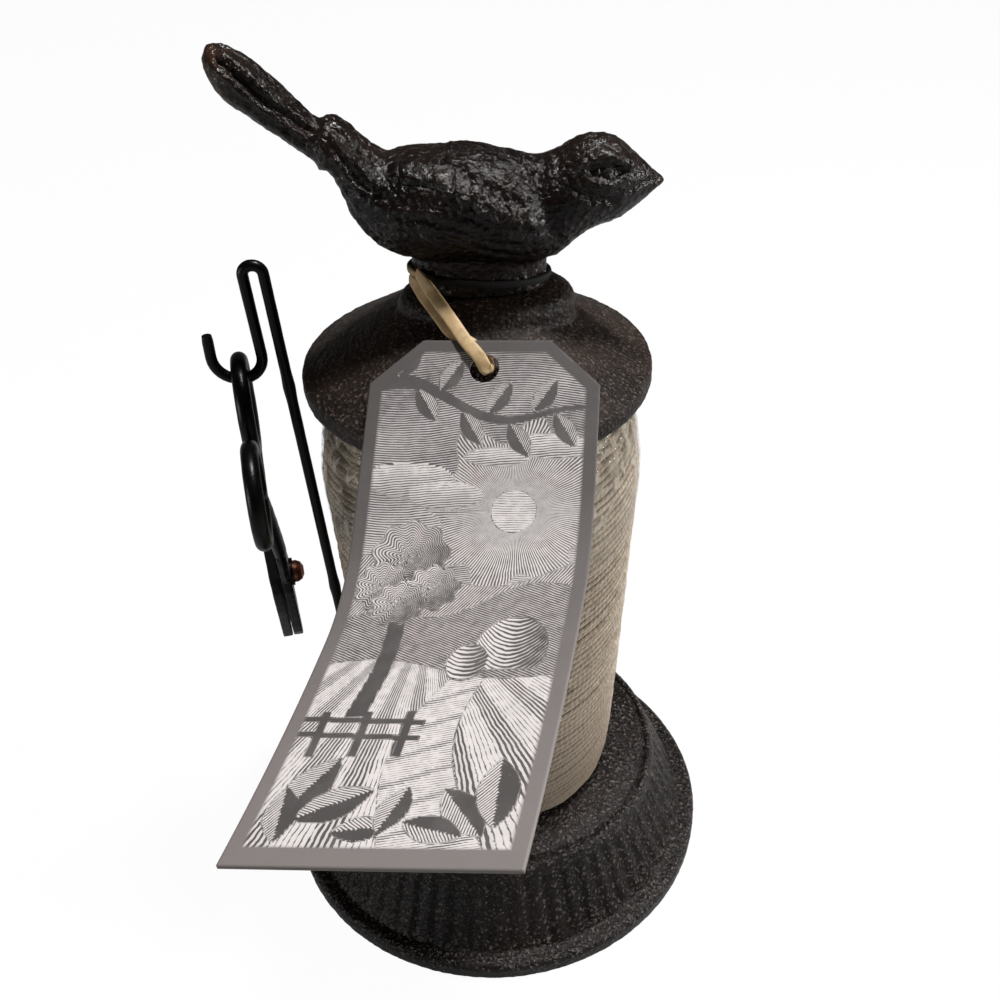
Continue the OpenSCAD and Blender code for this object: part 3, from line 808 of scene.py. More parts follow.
class Piece:
    """An object whose mesh is shaped further and then dressed."""

    def __init__(self, thing: bpy.types.Object) -> None:
        """Keeps the object."""
        self.thing = thing

    def bake(self) -> None:
        """Makes the modifiers' result the mesh."""
        graph = bpy.context.evaluated_depsgraph_get()
        data = bpy.data.meshes.new_from_object(self.thing.evaluated_get(graph))
        old = self.thing.data
        self.thing.modifiers.clear()
        self.thing.data = data
        bpy.data.meshes.remove(old)
        data.name = self.thing.name

    def melt(self, voxel: float, rounds: int, strength: float = 0.5) -> None:
        """Melts overlapping shells into one skin.

        Args:
            voxel: Size of the skin's faces.
            rounds: Rounds of smoothing.
            strength: Strength of each round.
        """
        skin = self.thing.modifiers.new("skin", "REMESH")
        skin.mode = "VOXEL"
        skin.voxel_size = voxel
        skin.adaptivity = 0.0
        soft = self.thing.modifiers.new("soft", "SMOOTH")
        soft.factor = strength
        soft.iterations = rounds
        self.bake()

    def cut(self, tool: "Piece") -> None:
        """Cuts another piece's shape away and removes that piece.

        Args:
            tool: The piece that is cut away.
        """
        knife = self.thing.modifiers.new("cut", "BOOLEAN")
        knife.operation = "DIFFERENCE"
        knife.solver = "EXACT"
        knife.object = tool.thing
        self.bake()
        bpy.data.objects.remove(tool.thing)

    @staticmethod
    def _rows(items: Any, key: str) -> np.ndarray:
        """Three numbers of each item, one row each.

        Args:
            items: Points or directions of the mesh.
            key: Name of the numbers.

        Returns:
            Rows of three numbers.
        """
        flat = np.empty(len(items) * 3, np.float32)
        items.foreach_get(key, flat)
        return flat.reshape(-1, 3).astype(float)

    def points(self) -> np.ndarray:
        """Corners of the mesh, one row each."""
        return self._rows(self.thing.data.vertices, "co")

    def normals(self) -> np.ndarray:
        """Directions of the corners, one row each."""
        return self._rows(self.thing.data.vertex_normals, "vector")

    def move_to(self, points: np.ndarray) -> None:
        """Puts the corners in new places."""
        self.thing.data.vertices.foreach_set("co", points.astype(np.float32).ravel())
        self.thing.data.update()

    def push(self, amount: np.ndarray) -> None:
        """Moves the corners along their directions."""
        self.move_to(self.points() + self.normals() * amount[:, None])

    def mark(self, name: str, values: np.ndarray) -> None:
        """Stores one number per corner for the finish."""
        store = self.thing.data.attributes.new(name, "FLOAT", "POINT")
        store.data.foreach_set("value", values.astype(np.float32))

    def dress(self, body: Body, slot: Slot, finish: bpy.types.Material, *nodes: str) -> bpy.types.Object:
        """Sets the piece in metres and gives it its place in the frame.

        Args:
            body: The body that it rides on.
            slot: The record's finish; not used.
            finish: Its material.
            nodes: The parts that it stands for.

        Returns:
            The finished object.
        """
        self.thing.data.transform(Matrix.Scale(MM, 4))
        self.thing.data.materials.clear()
        self.thing.data.materials.append(finish)
        self.thing.data.shade_smooth()
        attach(self.thing, body.value)
        if nodes:
            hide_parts(*nodes)
        LOG.info("%s: %d faces", self.thing.name, len(self.thing.data.polygons))
        return self.thing


def drill(name: str, ends: Sequence[Matrix], radius: float, count: int) -> Piece:
    """Round bar that is cut out of another piece.

    Args:
        name: Its name while it is used.
        ends: Where its two end circles lie.
        radius: Its radius.
        count: Number of corners of a circle.

    Returns:
        The bar.
    """
    mould = Mould()
    mould.skin([mould.ring(place, radius, radius, count) for place in ends])
    return mould.piece(name)


def rod(name: str, path: np.ndarray, radius: float, rounding: int, swell: np.ndarray) -> Piece:
    """Round rod along a path.

    Args:
        name: Name of the piece.
        path: Points in order, one row each.
        radius: Its radius.
        rounding: Steps of its round section.
        swell: Factor on the radius at each point.

    Returns:
        The rod.
    """
    curve = bpy.data.curves.new(name, "CURVE")
    curve.dimensions = "3D"
    curve.bevel_depth = radius
    curve.bevel_resolution = rounding
    curve.use_fill_caps = True
    spline = curve.splines.new("POLY")
    spline.points.add(len(path) - 1)
    spline.points.foreach_set("co", np.column_stack([path, np.ones(len(path))]).ravel())
    spline.points.foreach_set("radius", swell)
    thing = placed(name, curve)
    graph = bpy.context.evaluated_depsgraph_get()
    data = bpy.data.meshes.new_from_object(thing.evaluated_get(graph))
    bpy.data.objects.remove(thing)
    return Piece(placed(name, data))


# Sub-assemblies


@dataclass
class BaseCasting:
    """Round base: flat rim, fluted wall, ridge, groove and raised plate over a hollow."""

    foot_r: float = 60.0
    rim_h: float = 4.8
    rim_r: float = 55.3
    wall_top_r: float = 46.4
    wall_top_z: float = 25.6
    ridge_r: float = 45.9
    ridge_z: float = 27.2
    ridge_w: float = 1.4
    groove_w: float = 1.15
    groove_depth: float = 2.5
    plate_z: float = 28.1
    plate_under: float = 24.1
    wall: float = 3.6
    boss_r: float = 12.0
    boss_z: float = 20.1
    bore_r: float = 4.05
    flutes: int = 64
    flute_r: float = 2.2
    flute_depth: float = 0.75
    flute_margin: float = 1.3
    skin_mm: float = 1.5
    skin_depth: float = 0.11
    steps: int = 640

    def outline(self) -> list[tuple[float, float]]:
        """Closed outline with small rounds, as radius and height.

        Returns:
            Corners in order.
        """
        ridge_in = self.ridge_r - self.ridge_w
        plate_r = ridge_in - self.groove_w
        floor_z = self.plate_z - self.groove_depth
        hollow_r = self.rim_r - self.wall + 1.0
        corners = [
            (self.bore_r, self.plate_z, 6), (plate_r - 0.5, self.plate_z, 1),
            (plate_r, self.plate_z - 0.4, 1), (plate_r + 0.3, floor_z, 1),
            (plate_r + self.groove_w - 0.2, floor_z, 1),
            (ridge_in, self.ridge_z - 0.2, 1), (ridge_in + 0.3, self.ridge_z, 1),
            (self.ridge_r - 0.4, self.ridge_z, 1), (self.ridge_r + 0.1, self.ridge_z - 0.5, 1),
            (self.wall_top_r, self.wall_top_z + 0.6, 1), (self.wall_top_r, self.wall_top_z, 26),
            (self.rim_r, self.rim_h, 5), (self.foot_r - 1.6, self.rim_h, 1),
            (self.foot_r - 0.6, self.rim_h - 0.4, 1), (self.foot_r - 0.1, self.rim_h - 1.3, 3),
            (self.foot_r - 0.1, 0.5, 1), (self.foot_r - 0.6, 0.0, 3),
            (hollow_r, 0.0, 1), (hollow_r, self.rim_h - 2.0, 5),
            (self.wall_top_r - self.wall, self.plate_under, 6), (self.boss_r, self.plate_under, 2),
            (self.boss_r - 1.0, self.boss_z, 3), (self.bore_r, self.boss_z, 2),
        ]
        points: list[tuple[float, float]] = []
        for (r0, z0, parts), (r1, z1, _) in zip(corners, corners[1:] + corners[:1]):
            points += [(r0 + (r1 - r0) * k / parts, z0 + (z1 - z0) * k / parts) for k in range(parts)]
        return points

    def flute_cut(self, points: np.ndarray) -> np.ndarray:
        """Depth of the flutes at points on the wall.

        Args:
            points: Corners of the base.

        Returns:
            Depth of the cut, square to the wall.
        """
        radius = np.hypot(points[:, 0], points[:, 1])
        run = np.array([self.wall_top_r - self.rim_r, self.wall_top_z - self.rim_h])
        length = float(np.hypot(*run))
        along = ((radius - self.rim_r) * run[0] + (points[:, 2] - self.rim_h) * run[1]) / length
        off = np.abs((radius - self.rim_r) * run[1] - (points[:, 2] - self.rim_h) * run[0]) / length
        pitch = math.tau / self.flutes
        turn = np.mod(np.arctan2(points[:, 1], points[:, 0]), pitch) - pitch / 2
        across = turn * radius
        ends = np.minimum(along - self.flute_margin, length - self.flute_margin - along)
        cut = np.sqrt(np.maximum(self.flute_r**2 - across**2, 0.0)) - (self.flute_r - self.flute_depth)
        return np.where(off < 0.3, np.maximum(cut, 0.0) * ease(ends, -0.2, 1.6), 0.0)

    def build(self, finish: bpy.types.Material) -> None:
        """Models the base and dresses it.

        Args:
            finish: Its material.
        """
        mould = Mould()
        mould.lathe(self.outline(), self.steps)
        piece = mould.piece("base_cast_iron")
        points = piece.points()
        rough = cloud(points, self.skin_mm, 3) * self.skin_depth
        piece.push(rough - self.flute_cut(points))
        points = piece.points()
        points[:, 2] = np.maximum(points[:, 2], 0.0)
        radius = np.hypot(points[:, 0], points[:, 1])
        points[:, :2] *= np.minimum(1.0, (self.foot_r - 0.03) / np.maximum(radius, 1.0))[:, None]
        piece.move_to(points)
        piece.dress(Body.BASE, Slot.CASTING, finish, "base_casting")


@dataclass
class LidCasting:
    """Conical lid with a rounded rim and the oval mound that the bird stands on."""

    under_z: float = 149.6
    rim_z: float = 154.9
    rim_r: float = 39.4
    edge: float = 1.3
    flat_r: float = 13.0
    flat_z: float = 169.685
    socket_r: float = 4.05
    socket_h: float = 10.9
    mound_a: float = 19.3
    mound_b: float = 14.2
    mound_x: float = 2.7
    mound_h: float = 2.4
    pocket_x: tuple[float, float] = (-9.65, 12.35)
    pocket_r: float = 4.7
    pocket_h: float = 3.6
    screw_r: float = 2.05
    screw_h: float = 40.0
    skin_mm: float = 2.0
    skin_depth: float = 0.13
    skin_sink: float = 0.1
    voxel: float = 0.5

    def build(self, finish: bpy.types.Material) -> None:
        """Models the lid and dresses it.

        Args:
            finish: Its material.
        """
        mould = Mould()
        mould.lathe([
            (self.socket_r, self.under_z), (self.rim_r - self.edge, self.under_z),
            (self.rim_r - 0.3, self.under_z + 0.4), (self.rim_r, self.under_z + self.edge),
            (self.rim_r, self.rim_z - self.edge), (self.rim_r - 0.4, self.rim_z - 0.4),
            (self.rim_r - self.edge, self.rim_z), (self.flat_r, self.flat_z), (0.001, self.flat_z),
            (0.001, self.under_z + self.socket_h), (self.socket_r, self.under_z + self.socket_h),
        ], 160)
        rings = []
        edge = ((-9.0, 0.0), (-1.2, 0.0), (0.3, 0.5), (1.3, 1.5), (2.0, 3.0), (self.mound_h, 5.2))
        for up, inward in edge:
            place = Matrix.Translation((self.mound_x, 0.0, self.flat_z + up))
            rings.append(mould.ring(place, self.mound_a - inward, self.mound_b - inward, 96))
        mould.skin(rings)
        piece = mould.piece("lid_cast_iron")
        piece.melt(self.voxel, 2)
        bores = (
            ("pocket", self.pocket_r, 48, self.pocket_h + 1.0),
            ("screw_hole", self.screw_r, 32, self.screw_h),
        )
        for x in self.pocket_x:
            foot = Matrix.Translation((x, 0.0, self.under_z - 1.0))
            for name, radius, count, deep in bores:
                ends = (foot, foot @ Matrix.Translation((0.0, 0.0, deep)))
                piece.cut(drill(name, ends, radius, count))
        points = piece.points()
        outside = ease(points[:, 2], self.under_z + 0.05, self.under_z + 0.6)
        piece.push((cloud(points, self.skin_mm, 3) * self.skin_depth - self.skin_sink) * outside)
        piece.dress(Body.TOP, Slot.CASTING, finish, "lid_casting")


@dataclass
class BirdCasting:
    """Small bird on a stem: long cocked tail, folded wings, round head and pointed beak."""

    middle_z: float = 189.985
    foot_z: float = 172.085
    stations: tuple[tuple[float, float, float, float], ...] = (
        (-49.6, 30.0, 0.5, 0.6), (-48.6, 29.4, 3.0, 3.4), (-46.5, 28.0, 5.0, 5.1), (-43.0, 25.7, 5.6, 5.7),
        (-38.0, 21.7, 5.6, 5.6), (-32.0, 16.0, 4.7, 5.0), (-29.4, 13.8, 4.5, 5.2), (-27.5, 12.7, 5.3, 6.2),
        (-25.5, 10.9, 6.9, 7.0), (-24.0, 8.0, 9.1, 7.6), (-22.0, 5.3, 9.7, 8.3), (-18.0, 1.8, 9.9, 9.8),
        (-10.0, 0.3, 11.1, 12.2), (0.0, 0.0, 11.8, 13.3), (8.0, -1.0, 11.4, 12.5), (14.0, -1.4, 10.7, 10.4),
        (18.0, -0.3, 10.7, 9.3), (22.0, 2.5, 10.1, 9.0), (26.0, 4.0, 9.3, 8.5), (30.0, 4.1, 8.2, 7.2),
        (33.5, 3.8, 5.7, 5.0), (36.5, 3.5, 3.2, 2.7), (40.0, 3.4, 0.4, 0.4),
    )
    neck_x: float = 1.35
    neck_a: float = 14.6
    neck_b: float = 7.7
    voxel: float = 0.42
    wing_edge: Line = ((-17.5, 198.0), (-8.4, 197.4), (-2.6, 196.0), (1.1, 194.4), (6.3, 191.2),
                       (12.3, 189.6), (15.2, 190.8))
    tail_groove: Line = ((-47.0, 221.6), (-44.3, 219.8), (-37.9, 213.2), (-29.6, 206.6))
    tail_under: Line = ((-45.0, 215.6), (-38.0, 209.9), (-30.2, 204.2))
    brow: Line = ((21.3, 198.6), (23.6, 200.2), (26.6, 200.7), (29.8, 199.9), (33.4, 197.6))
    cheek: Line = ((20.0, 196.4), (22.6, 194.2), (26.4, 192.6), (30.4, 192.2))
    mouth: Line = ((31.0, 193.4), (35.0, 194.2), (39.6, 194.6))
    flanks: tuple[Line, ...] = (
        ((-23.6, 196.6), (-20.4, 192.0), (-16.8, 188.2), (-12.0, 184.6)),
        ((-20.4, 197.6), (-16.6, 192.6), (-10.2, 187.4), (-3.0, 184.6)),
    )
    eye: tuple[float, float] = (27.4, 197.3)
    eye_out: float = 7.25
    eye_r: float = 0.95
    upper_lid: Line = ((22.6, 198.0), (25.0, 199.0), (28.4, 198.9), (32.0, 197.2))
    lower_lid: Line = ((22.8, 197.2), (25.4, 195.9), (28.8, 195.7), (32.2, 196.8))
    eye_slit: Line = ((23.0, 197.7), (27.4, 197.3), (31.6, 197.0))
    nape: Line = ((13.0, 199.0), (14.4, 194.0), (15.6, 189.0), (16.4, 185.0))
    skin_mm: float = 1.35
    skin_depth: float = 0.19

    def shell(self) -> Piece:
        """Joins the body, stem and eyes into one skin.

        Returns:
            The bird without its relief.
        """
        table = np.array(self.stations)
        xs = np.unique(np.concatenate([np.linspace(table[0, 0], table[-1, 0], 80), table[:, 0]]))
        middle, tall, wide = (flow(table[:, 0], table[:, i], xs) for i in (1, 2, 3))
        mould = Mould()
        upright = Matrix.Rotation(math.pi / 2, 4, "Y") @ Matrix.Rotation(math.pi / 2, 4, "Z")
        places = [Matrix.Translation((x, 0.0, self.middle_z + m)) @ upright for x, m in zip(xs, middle)]
        sizes = np.maximum(np.stack([wide, tall], 1), 0.3)
        mould.skin([mould.ring(place, w, t, 48) for place, (w, t) in zip(places, sizes)])
        stem = ((0.0, 0.3, 0.3), (1.5, 0.0, 0.0), (5.0, -0.2, 0.0), (8.0, -0.4, 0.6), (14.0, -2.0, -1.0))
        rings = [
            mould.ring(Matrix.Translation((self.neck_x, 0.0, self.foot_z + up)),
                       self.neck_a + long, self.neck_b + broad, 64)
            for up, long, broad in stem
        ]
        mould.skin(rings)
        for side in (-1.0, 1.0):
            mould.ball((self.eye[0], side * self.eye_out, self.eye[1]), self.eye_r)
        piece = mould.piece("bird_cast_iron")
        piece.melt(self.voxel, 6)
        return piece

    @staticmethod
    def _line(line: Line, x: np.ndarray, z: np.ndarray, width: float) -> np.ndarray:
        """Bell along a broken line that fades at its ends."""
        near, way, _, run = beside(line, x, z)
        return hump(near, width) * ease(way, 0.0, 1.5) * (1.0 - ease(way, run - 1.5, run))

    def tail_relief(self, p: np.ndarray, n: np.ndarray) -> np.ndarray:
        """Grooves of the tail and strands of the rump.

        Args:
            p: Corners of the bird.
            n: Their directions.

        Returns:
            Relief in millimetres.
        """
        x, y, z = p.T
        flank = ease(np.abs(n[:, 1]), 0.2, 0.55)
        groove = beside(self.tail_groove, x, z)[0]
        lips = self._line(self.tail_groove, x, z, 3.4) * hump(groove - 1.6, 0.7)
        relief = (0.4 * lips - 0.95 * self._line(self.tail_groove, x, z, 0.55)) * flank
        relief -= 0.6 * self._line(self.tail_under, x, z, 0.7) * flank
        on_tail = 1.0 - ease(x, -30.5, -28.0)
        relief -= 0.6 * hump(y, 0.7) * ease(n[:, 2], 0.2, 0.6) * on_tail * ease(x, -47.5, -44.0)
        collar = x + 27.3 + 0.176 * (209.6 - z)
        relief += 0.75 * np.where(collar < 0, hump(collar, 0.9), hump(collar, 2.6)) * (z > 200)
        table = np.array(self.stations)
        middle = self.middle_z + np.interp(x, table[:, 0], table[:, 1])
        turn = np.arctan2(z - middle, np.abs(y))
        rump = ease(x, -27.5, -26.0) * (1.0 - ease(x, -19.0, -14.5))
        wander = cloud(p * np.array([0.5, 1.0, 1.0]), 5.0, 2, 3.1)
        relief += 0.34 * np.sin(turn * 11.0 + wander * 1.6) * rump
        barbs = np.sin((x * 0.7 + z * 0.72) * 2.6 + wander * 2.0)
        return relief + 0.05 * barbs * on_tail

    def wing_relief(self, p: np.ndarray, n: np.ndarray) -> np.ndarray:
        """Folded wings: scalloped coverts over long feathers.

        Args:
            p: Corners of the bird.
            n: Their directions.

        Returns:
            Relief in millimetres.
        """
        x, _, z = p.T
        flank = ease(np.abs(n[:, 1]), 0.15, 0.45)
        near, way, side, run = beside(self.wing_edge, x, z)
        above = near * side
        ends = ease(way, 0.5, 4.0) * (1.0 - ease(way, run - 3.0, run - 0.3))
        scallop = np.abs(np.sin(math.pi * way / 3.7)) * 1.25 * ease(way, 11.0, 15.0)
        relief = np.zeros(x.shape)
        for rise, height, fall in ((0.0, 1.0, 5.0), (4.4, 0.5, 4.0)):
            shift = above - rise + scallop * (1.0 if rise == 0 else 0.8)
            relief += height * ease(shift, -0.15, 0.55) * (1.0 - ease(shift, 0.8, fall)) * ends
        below = -above
        for drop in (2.9, 5.4, 7.8):
            groove = hump(below - drop + 0.05 * (way - run / 2), 0.55)
            relief -= 0.32 * groove * ease(way, 1.0, 5.0) * (1.0 - ease(way, run - 5.0, run - 1.0))
        relief += 0.55 * ease(below, -0.2, 0.6) * (1.0 - ease(below, 8.0, 10.0)) * ends * 0.6
        for line in self.flanks:
            d, w, s, length = beside(line, x, z)
            fade = ease(w, 0.0, 2.0) * (1.0 - ease(w, length - 4.0, length))
            relief += 0.55 * np.where(s > 0, hump(d, 2.4), hump(d, 0.7)) * fade
        return relief * flank * ease(x, -26.0, -22.5)

    def head_relief(self, p: np.ndarray, n: np.ndarray) -> np.ndarray:
        """Brow, eye, cheek, nape and beak.

        Args:
            p: Corners of the bird.
            n: Their directions.

        Returns:
            Relief in millimetres.
        """
        x, _, z = p.T
        flank = ease(np.abs(n[:, 1]), 0.2, 0.5)
        features = ((0.95, self.brow, 0.9), (-0.55, self.upper_lid, 0.5), (-0.7, self.eye_slit, 0.95),
                    (0.8, self.lower_lid, 0.6), (-0.75, self.cheek, 0.8), (-0.45, self.mouth, 0.38))
        relief = np.zeros(x.shape)
        for height, line, width in features:
            relief += height * self._line(line, x, z, width)
        relief *= flank
        relief -= 0.7 * self._line(self.nape, x, z, 1.7)
        strands = np.sin(x * 2.4 + z * 1.7 + cloud(p, 4.0, 2, 9.0) * 2.2)
        throat = ease(x, 12.0, 16.0) * (1.0 - ease(x, 31.0, 34.0))
        return relief + 0.04 * strands * throat

    def build(self, finish: bpy.types.Material) -> None:
        """Models the bird and dresses it.

        Args:
            finish: Its material.
        """
        piece = self.shell()
        points, turned = piece.points(), piece.normals()
        relief = self.tail_relief(points, turned) + self.wing_relief(points, turned)
        relief += self.head_relief(points, turned)
        piece.push(relief)
        piece.push(cloud(piece.points(), self.skin_mm, 2, 1.7) * self.skin_depth)
        points = piece.points()
        points[:, 2] = np.maximum(points[:, 2], self.foot_z + 0.02)
        piece.move_to(points)
        tip = hump(points[:, 0] + 49.5, 4.0) + hump(points[:, 0] - 40.0, 2.0) * 0.5
        piece.mark("worn", np.clip(tip, 0.0, 1.0))
        piece.dress(Body.TOP, Slot.CASTING, finish, "bird_casting")


@dataclass
class HookWire:
    """Bent wire that stands on the plate: long leg, hairpin and open hook."""

    y: float = 6.0
    radius: float = 1.3
    corners: Line = (
        (-38.0, 19.6), (-38.0, 35.58), (-38.03, 36.62), (-45.98, 173.46), (-46.04, 173.87),
        (-46.18, 174.25), (-46.39, 174.6), (-46.66, 174.91), (-46.98, 175.16), (-47.34, 175.35),
        (-47.73, 175.46), (-48.14, 175.5), (-48.41, 175.5), (-48.85, 175.46), (-49.26, 175.32),
        (-49.65, 175.11), (-49.98, 174.82), (-50.25, 174.47), (-50.44, 174.08), (-50.55, 173.65),
        (-50.57, 173.21), (-49.41, 153.34), (-49.46, 152.22), (-49.74, 151.13), (-50.23, 150.12),
        (-50.91, 149.23), (-51.76, 148.5), (-52.74, 147.95), (-53.81, 147.61), (-54.92, 147.5),
        (-55.31, 147.5), (-56.44, 147.61), (-57.52, 147.94), (-58.51, 148.47), (-59.39, 149.19),
        (-60.1, 150.06), (-60.63, 151.06), (-60.96, 152.14), (-61.07, 153.26), (-61.07, 158.9),
    )
    swellings: tuple[tuple[float, float], ...] = ((144.7, 2.6), (83.0, 2.2))
    swell: float = 0.16
    uneven: float = 0.025
    end_taper: float = 0.12
    leg_points: int = 95
    spacing: float = 1.6

    def build(self, finish: bpy.types.Material) -> None:
        """Bends the wire and dresses it.

        Args:
            finish: Its material.
        """
        rows = []
        for (x0, z0), (x1, z1) in zip(self.corners, self.corners[1:]):
            parts = max(1, round(math.hypot(x1 - x0, z1 - z0) / self.spacing))
            rows += [(x0 + (x1 - x0) * k / parts, self.y, z0 + (z1 - z0) * k / parts) for k in range(parts)]
        rows.append((self.corners[-1][0], self.y, self.corners[-1][1]))
        path = np.array(rows)
        size = 1.0 + self.uneven * np.array([noise.noise(Vector(point) / 3.0) for point in path])
        leg = path[:self.leg_points, 2]
        for z, width in self.swellings:
            size[:self.leg_points] += self.swell * hump(leg - z, width)
        size[[0, -1]] -= self.end_taper
        piece = rod("hook_wire", path, self.radius, 6, size)
        piece.dress(Body.BASE, Slot.BLACK_PAINT, finish, "scissor_hook")


@dataclass
class ScissorPair:
    """Small scissors that hang by one loop from the hook."""

    pivot: tuple[float, float, float] = (-56.365, 12.972, 82.223)
    tilt: float = 20.0
    turn: float = 10.5
    loop_side: float = 13.2
    loop_up: float = 57.0
    loop_mean: float = 10.8
    rod: float = 2.0
    layer: float = 1.5
    blade_t: float = 2.8
    blade: Line = ((5.2, 15.39), (1.4, 15.39), (-3.5, 3.36), (-4.0, -4.2), (-1.6, -34.0), (0.0, -36.9),
                   (1.2, -33.0), (3.5, -5.04), (3.84, 2.52))
    voxel: float = 0.28
    bore: float = 1.76

    def half(self, side: float) -> Piece:
        """Models one half about its pivot.

        Args:
            side: 1 for the half that hangs, -1 for the free half.

        Returns:
            The half, still at the pivot.
        """
        mould = Mould()
        layer = -side * self.layer
        centre = Vector((0.0, side * self.loop_side, self.loop_up))
        side_of_loop = Matrix.Translation(centre + Vector((0.0, self.loop_mean, 0.0)))
        start = mould.ring(side_of_loop, self.rod * 0.98, self.rod * 0.94, 24)
        bmesh.ops.spin(mould.mesh, geom=start + mould.edges_of(start), cent=centre, axis=(1, 0, 0),
                       dvec=(0, 0, 0), angle=math.tau, steps=72, use_merge=True)
        bmesh.ops.remove_doubles(mould.mesh, verts=mould.mesh.verts, dist=1e-4)
        foot_y, foot_z = self.loop_side - self.loop_mean * 0.55, self.loop_up - self.loop_mean * 0.84
        stations = (
            (layer, 0.4, 1.0, 1.36, 3.6), (layer, 1.4, 6.0, 1.4, 3.2), (layer, 2.6, 11.0, 1.45, 2.5),
            (layer, 3.4, 17.0, 1.75, 2.1), (layer * 0.8, 4.0, 24.0, 1.85, 1.9),
            (layer * 0.5, 4.8, 33.0, 1.9, 1.85), (layer * 0.2, 5.9, 42.0, 1.9, 1.85),
            (0.0, foot_y, foot_z, 1.9, 1.9), (0.0, foot_y + 1.1, foot_z + 2.0, 1.8, 1.7),
        )
        rings = [
            mould.ring(Matrix.Translation((x, side * y, z)), half_x, half_y, 28)
            for x, y, z, half_x, half_y in stations
        ]
        mould.skin(rings)
        corners = [mould.mesh.verts.new((layer - self.blade_t / 2, side * y, z)) for y, z in self.blade]
        mould.draw_out([mould.mesh.faces.new(corners)], (self.blade_t, 0.0, 0.0))
        piece = mould.piece("scissor_hung_half" if side > 0 else "scissor_free_half")
        piece.melt(self.voxel, 4, 0.4)
        turn = Matrix.Rotation(math.pi / 2, 4, "Y")
        ends = [Matrix.Translation((x, 0.0, 0.0)) @ turn for x in (-6.0, 6.0)]
        piece.cut(drill("pivot_hole", ends, self.bore, 40))
        return piece

    def build(self, finish: bpy.types.Material) -> None:
        """Hangs both halves and dresses them.

        Args:
            finish: Their material.
        """
        turn = Matrix.Rotation(math.radians(self.turn), 4, "Z")
        hang = Matrix.Translation(self.pivot) @ turn @ Matrix.Rotation(math.radians(self.tilt), 4, "X")
        halves = (
            (1.0, Body.SCISSORS_HUNG, "scissor_half_hung"),
            (-1.0, Body.SCISSORS_FREE, "scissor_half_free"),
        )
        for side, body, node in halves:
            piece = self.half(side)
            _, y, z = piece.points().T
            turned = piece.normals()
            inner = ease(turned[:, 0] * side, 0.45, 0.8) * (1.0 - ease(z, 4.0, 7.0))
            tip = ease(-y * side, 0.4, 1.4) * (1.0 - ease(z, -20.0, -12.0)) * 0.4
            piece.mark("bare", np.clip(inner + tip, 0.0, 1.0))
            piece.push(cloud(piece.points(), 4.0, 2) * 0.05)
            piece.thing.data.transform(hang)
            piece.dress(body, Slot.BLACK_PAINT, finish, node)


@dataclass
class TwineSpool:
    """Cross-wound twine: one strand that climbs and falls round the spool, over deeper layers."""

    foot_z: float = 28.3
    outline: Line = ((0.0, 33.0), (5.0, 33.6), (54.0, 36.0), (95.0, 37.8), (101.0, 37.8), (110.5, 36.6),
                     (116.96, 33.4), (120.0, 29.0))
    strand: float = 1.3
    low: float = 1.2
    high: float = 115.0
    climbs: int = 13
    skip: int = 5
    whole_turns: int = 9
    steps: int = 44
    bore_r: float = 16.05
    fill_low: float = 0.2
    fill_high: float = 116.6
    rising_depth: float = 0.55
    falling_depth: float = 1.5
    turning_depth: float = 1.05
    lift_spread: float = 0.28
    depth_spread: float = 0.10
    wander_mm: float = 0.34

    def surface_r(self, height: float | np.ndarray) -> np.ndarray:
        """Radius of the winding at a height above its foot."""
        heights, radii = zip(*self.outline)
        return np.interp(height, heights, radii)

    def path(self) -> np.ndarray:
        """Way of the strand, one row per point.

        Returns:
            Points in order.
        """
        rng = random.Random(11)
        turns = (self.whole_turns + self.skip / self.climbs) / 2.0
        per_pass = round(turns * self.steps)
        rows = []
        turn = 0.0
        for number in range(self.climbs * 2):
            rising = number % 2 == 0
            lift = rng.uniform(-self.lift_spread, self.lift_spread)
            depth = rng.uniform(-self.depth_spread, self.depth_spread)
            for k in range(per_pass):
                share = k / per_pass
                way = share if rising else 1.0 - share
                angle = turn + math.tau * turns * share
                wander = self.wander_mm * noise.noise(Vector((angle * 0.55, number * 3.7, 0.0)))
                inside = math.sin(math.pi * share)
                height = self.low + (self.high - self.low) * way + (lift + wander) * min(1.0, 4.0 * inside)
                layer = self.rising_depth if rising else self.falling_depth
                settle = min(1.0, 8.0 * min(share, 1.0 - share))
                layer = self.turning_depth + (layer - self.turning_depth) * settle
                radius = float(self.surface_r(height)) - self.strand * layer + depth
                rows.append((radius * math.cos(angle), radius * math.sin(angle), self.foot_z + height))
            turn += math.tau * turns
        return np.array(rows)

    def wind(self, finish: bpy.types.Material) -> None:
        """Winds the strand and dresses it.

        Args:
            finish: Its material.
        """
        path = self.path()
        piece = rod("twine_strand", path, self.strand / 2.0, 1, np.ones(len(path)))
        order = np.arange(len(piece.thing.data.vertices))
        sides = len(order) // len(path)
        piece.mark("way", way_along(path)[np.minimum(order // sides, len(path) - 1)])
        piece.mark("turn", (order % sides) / sides)
        # Painted shade, darker towards the foot of the spool.
        piece.mark("low_shade", 1.0 - ease(piece.points()[:, 2] - self.foot_z, 2.0, 46.0))
        piece.dress(Body.SPOOL, Slot.TWINE, finish, "twine_winding")

    def fill(self, finish: bpy.types.Material) -> None:
        """Models the deeper layers and dresses them.

        Args:
            finish: Their material.
        """
        mould = Mould()
        heights = [self.fill_low] + [1.0 + 2.0 * k for k in range(58)] + [self.fill_high]
        outer = [(float(self.surface_r(h)) - self.strand * 2.05, self.foot_z + h) for h in heights]
        inner = [(self.bore_r, self.foot_z + h) for h in (self.fill_high, self.fill_low)]
        mould.lathe(outer + inner, 192)
        piece = mould.piece("twine_layers")
        points = piece.points()
        outside = np.hypot(points[:, 0], points[:, 1]) > 20.0
        piece.push(cloud(points, 3.0, 2) * 0.22 * outside)
        piece.dress(Body.SPOOL, Slot.TWINE, finish, "twine_body")


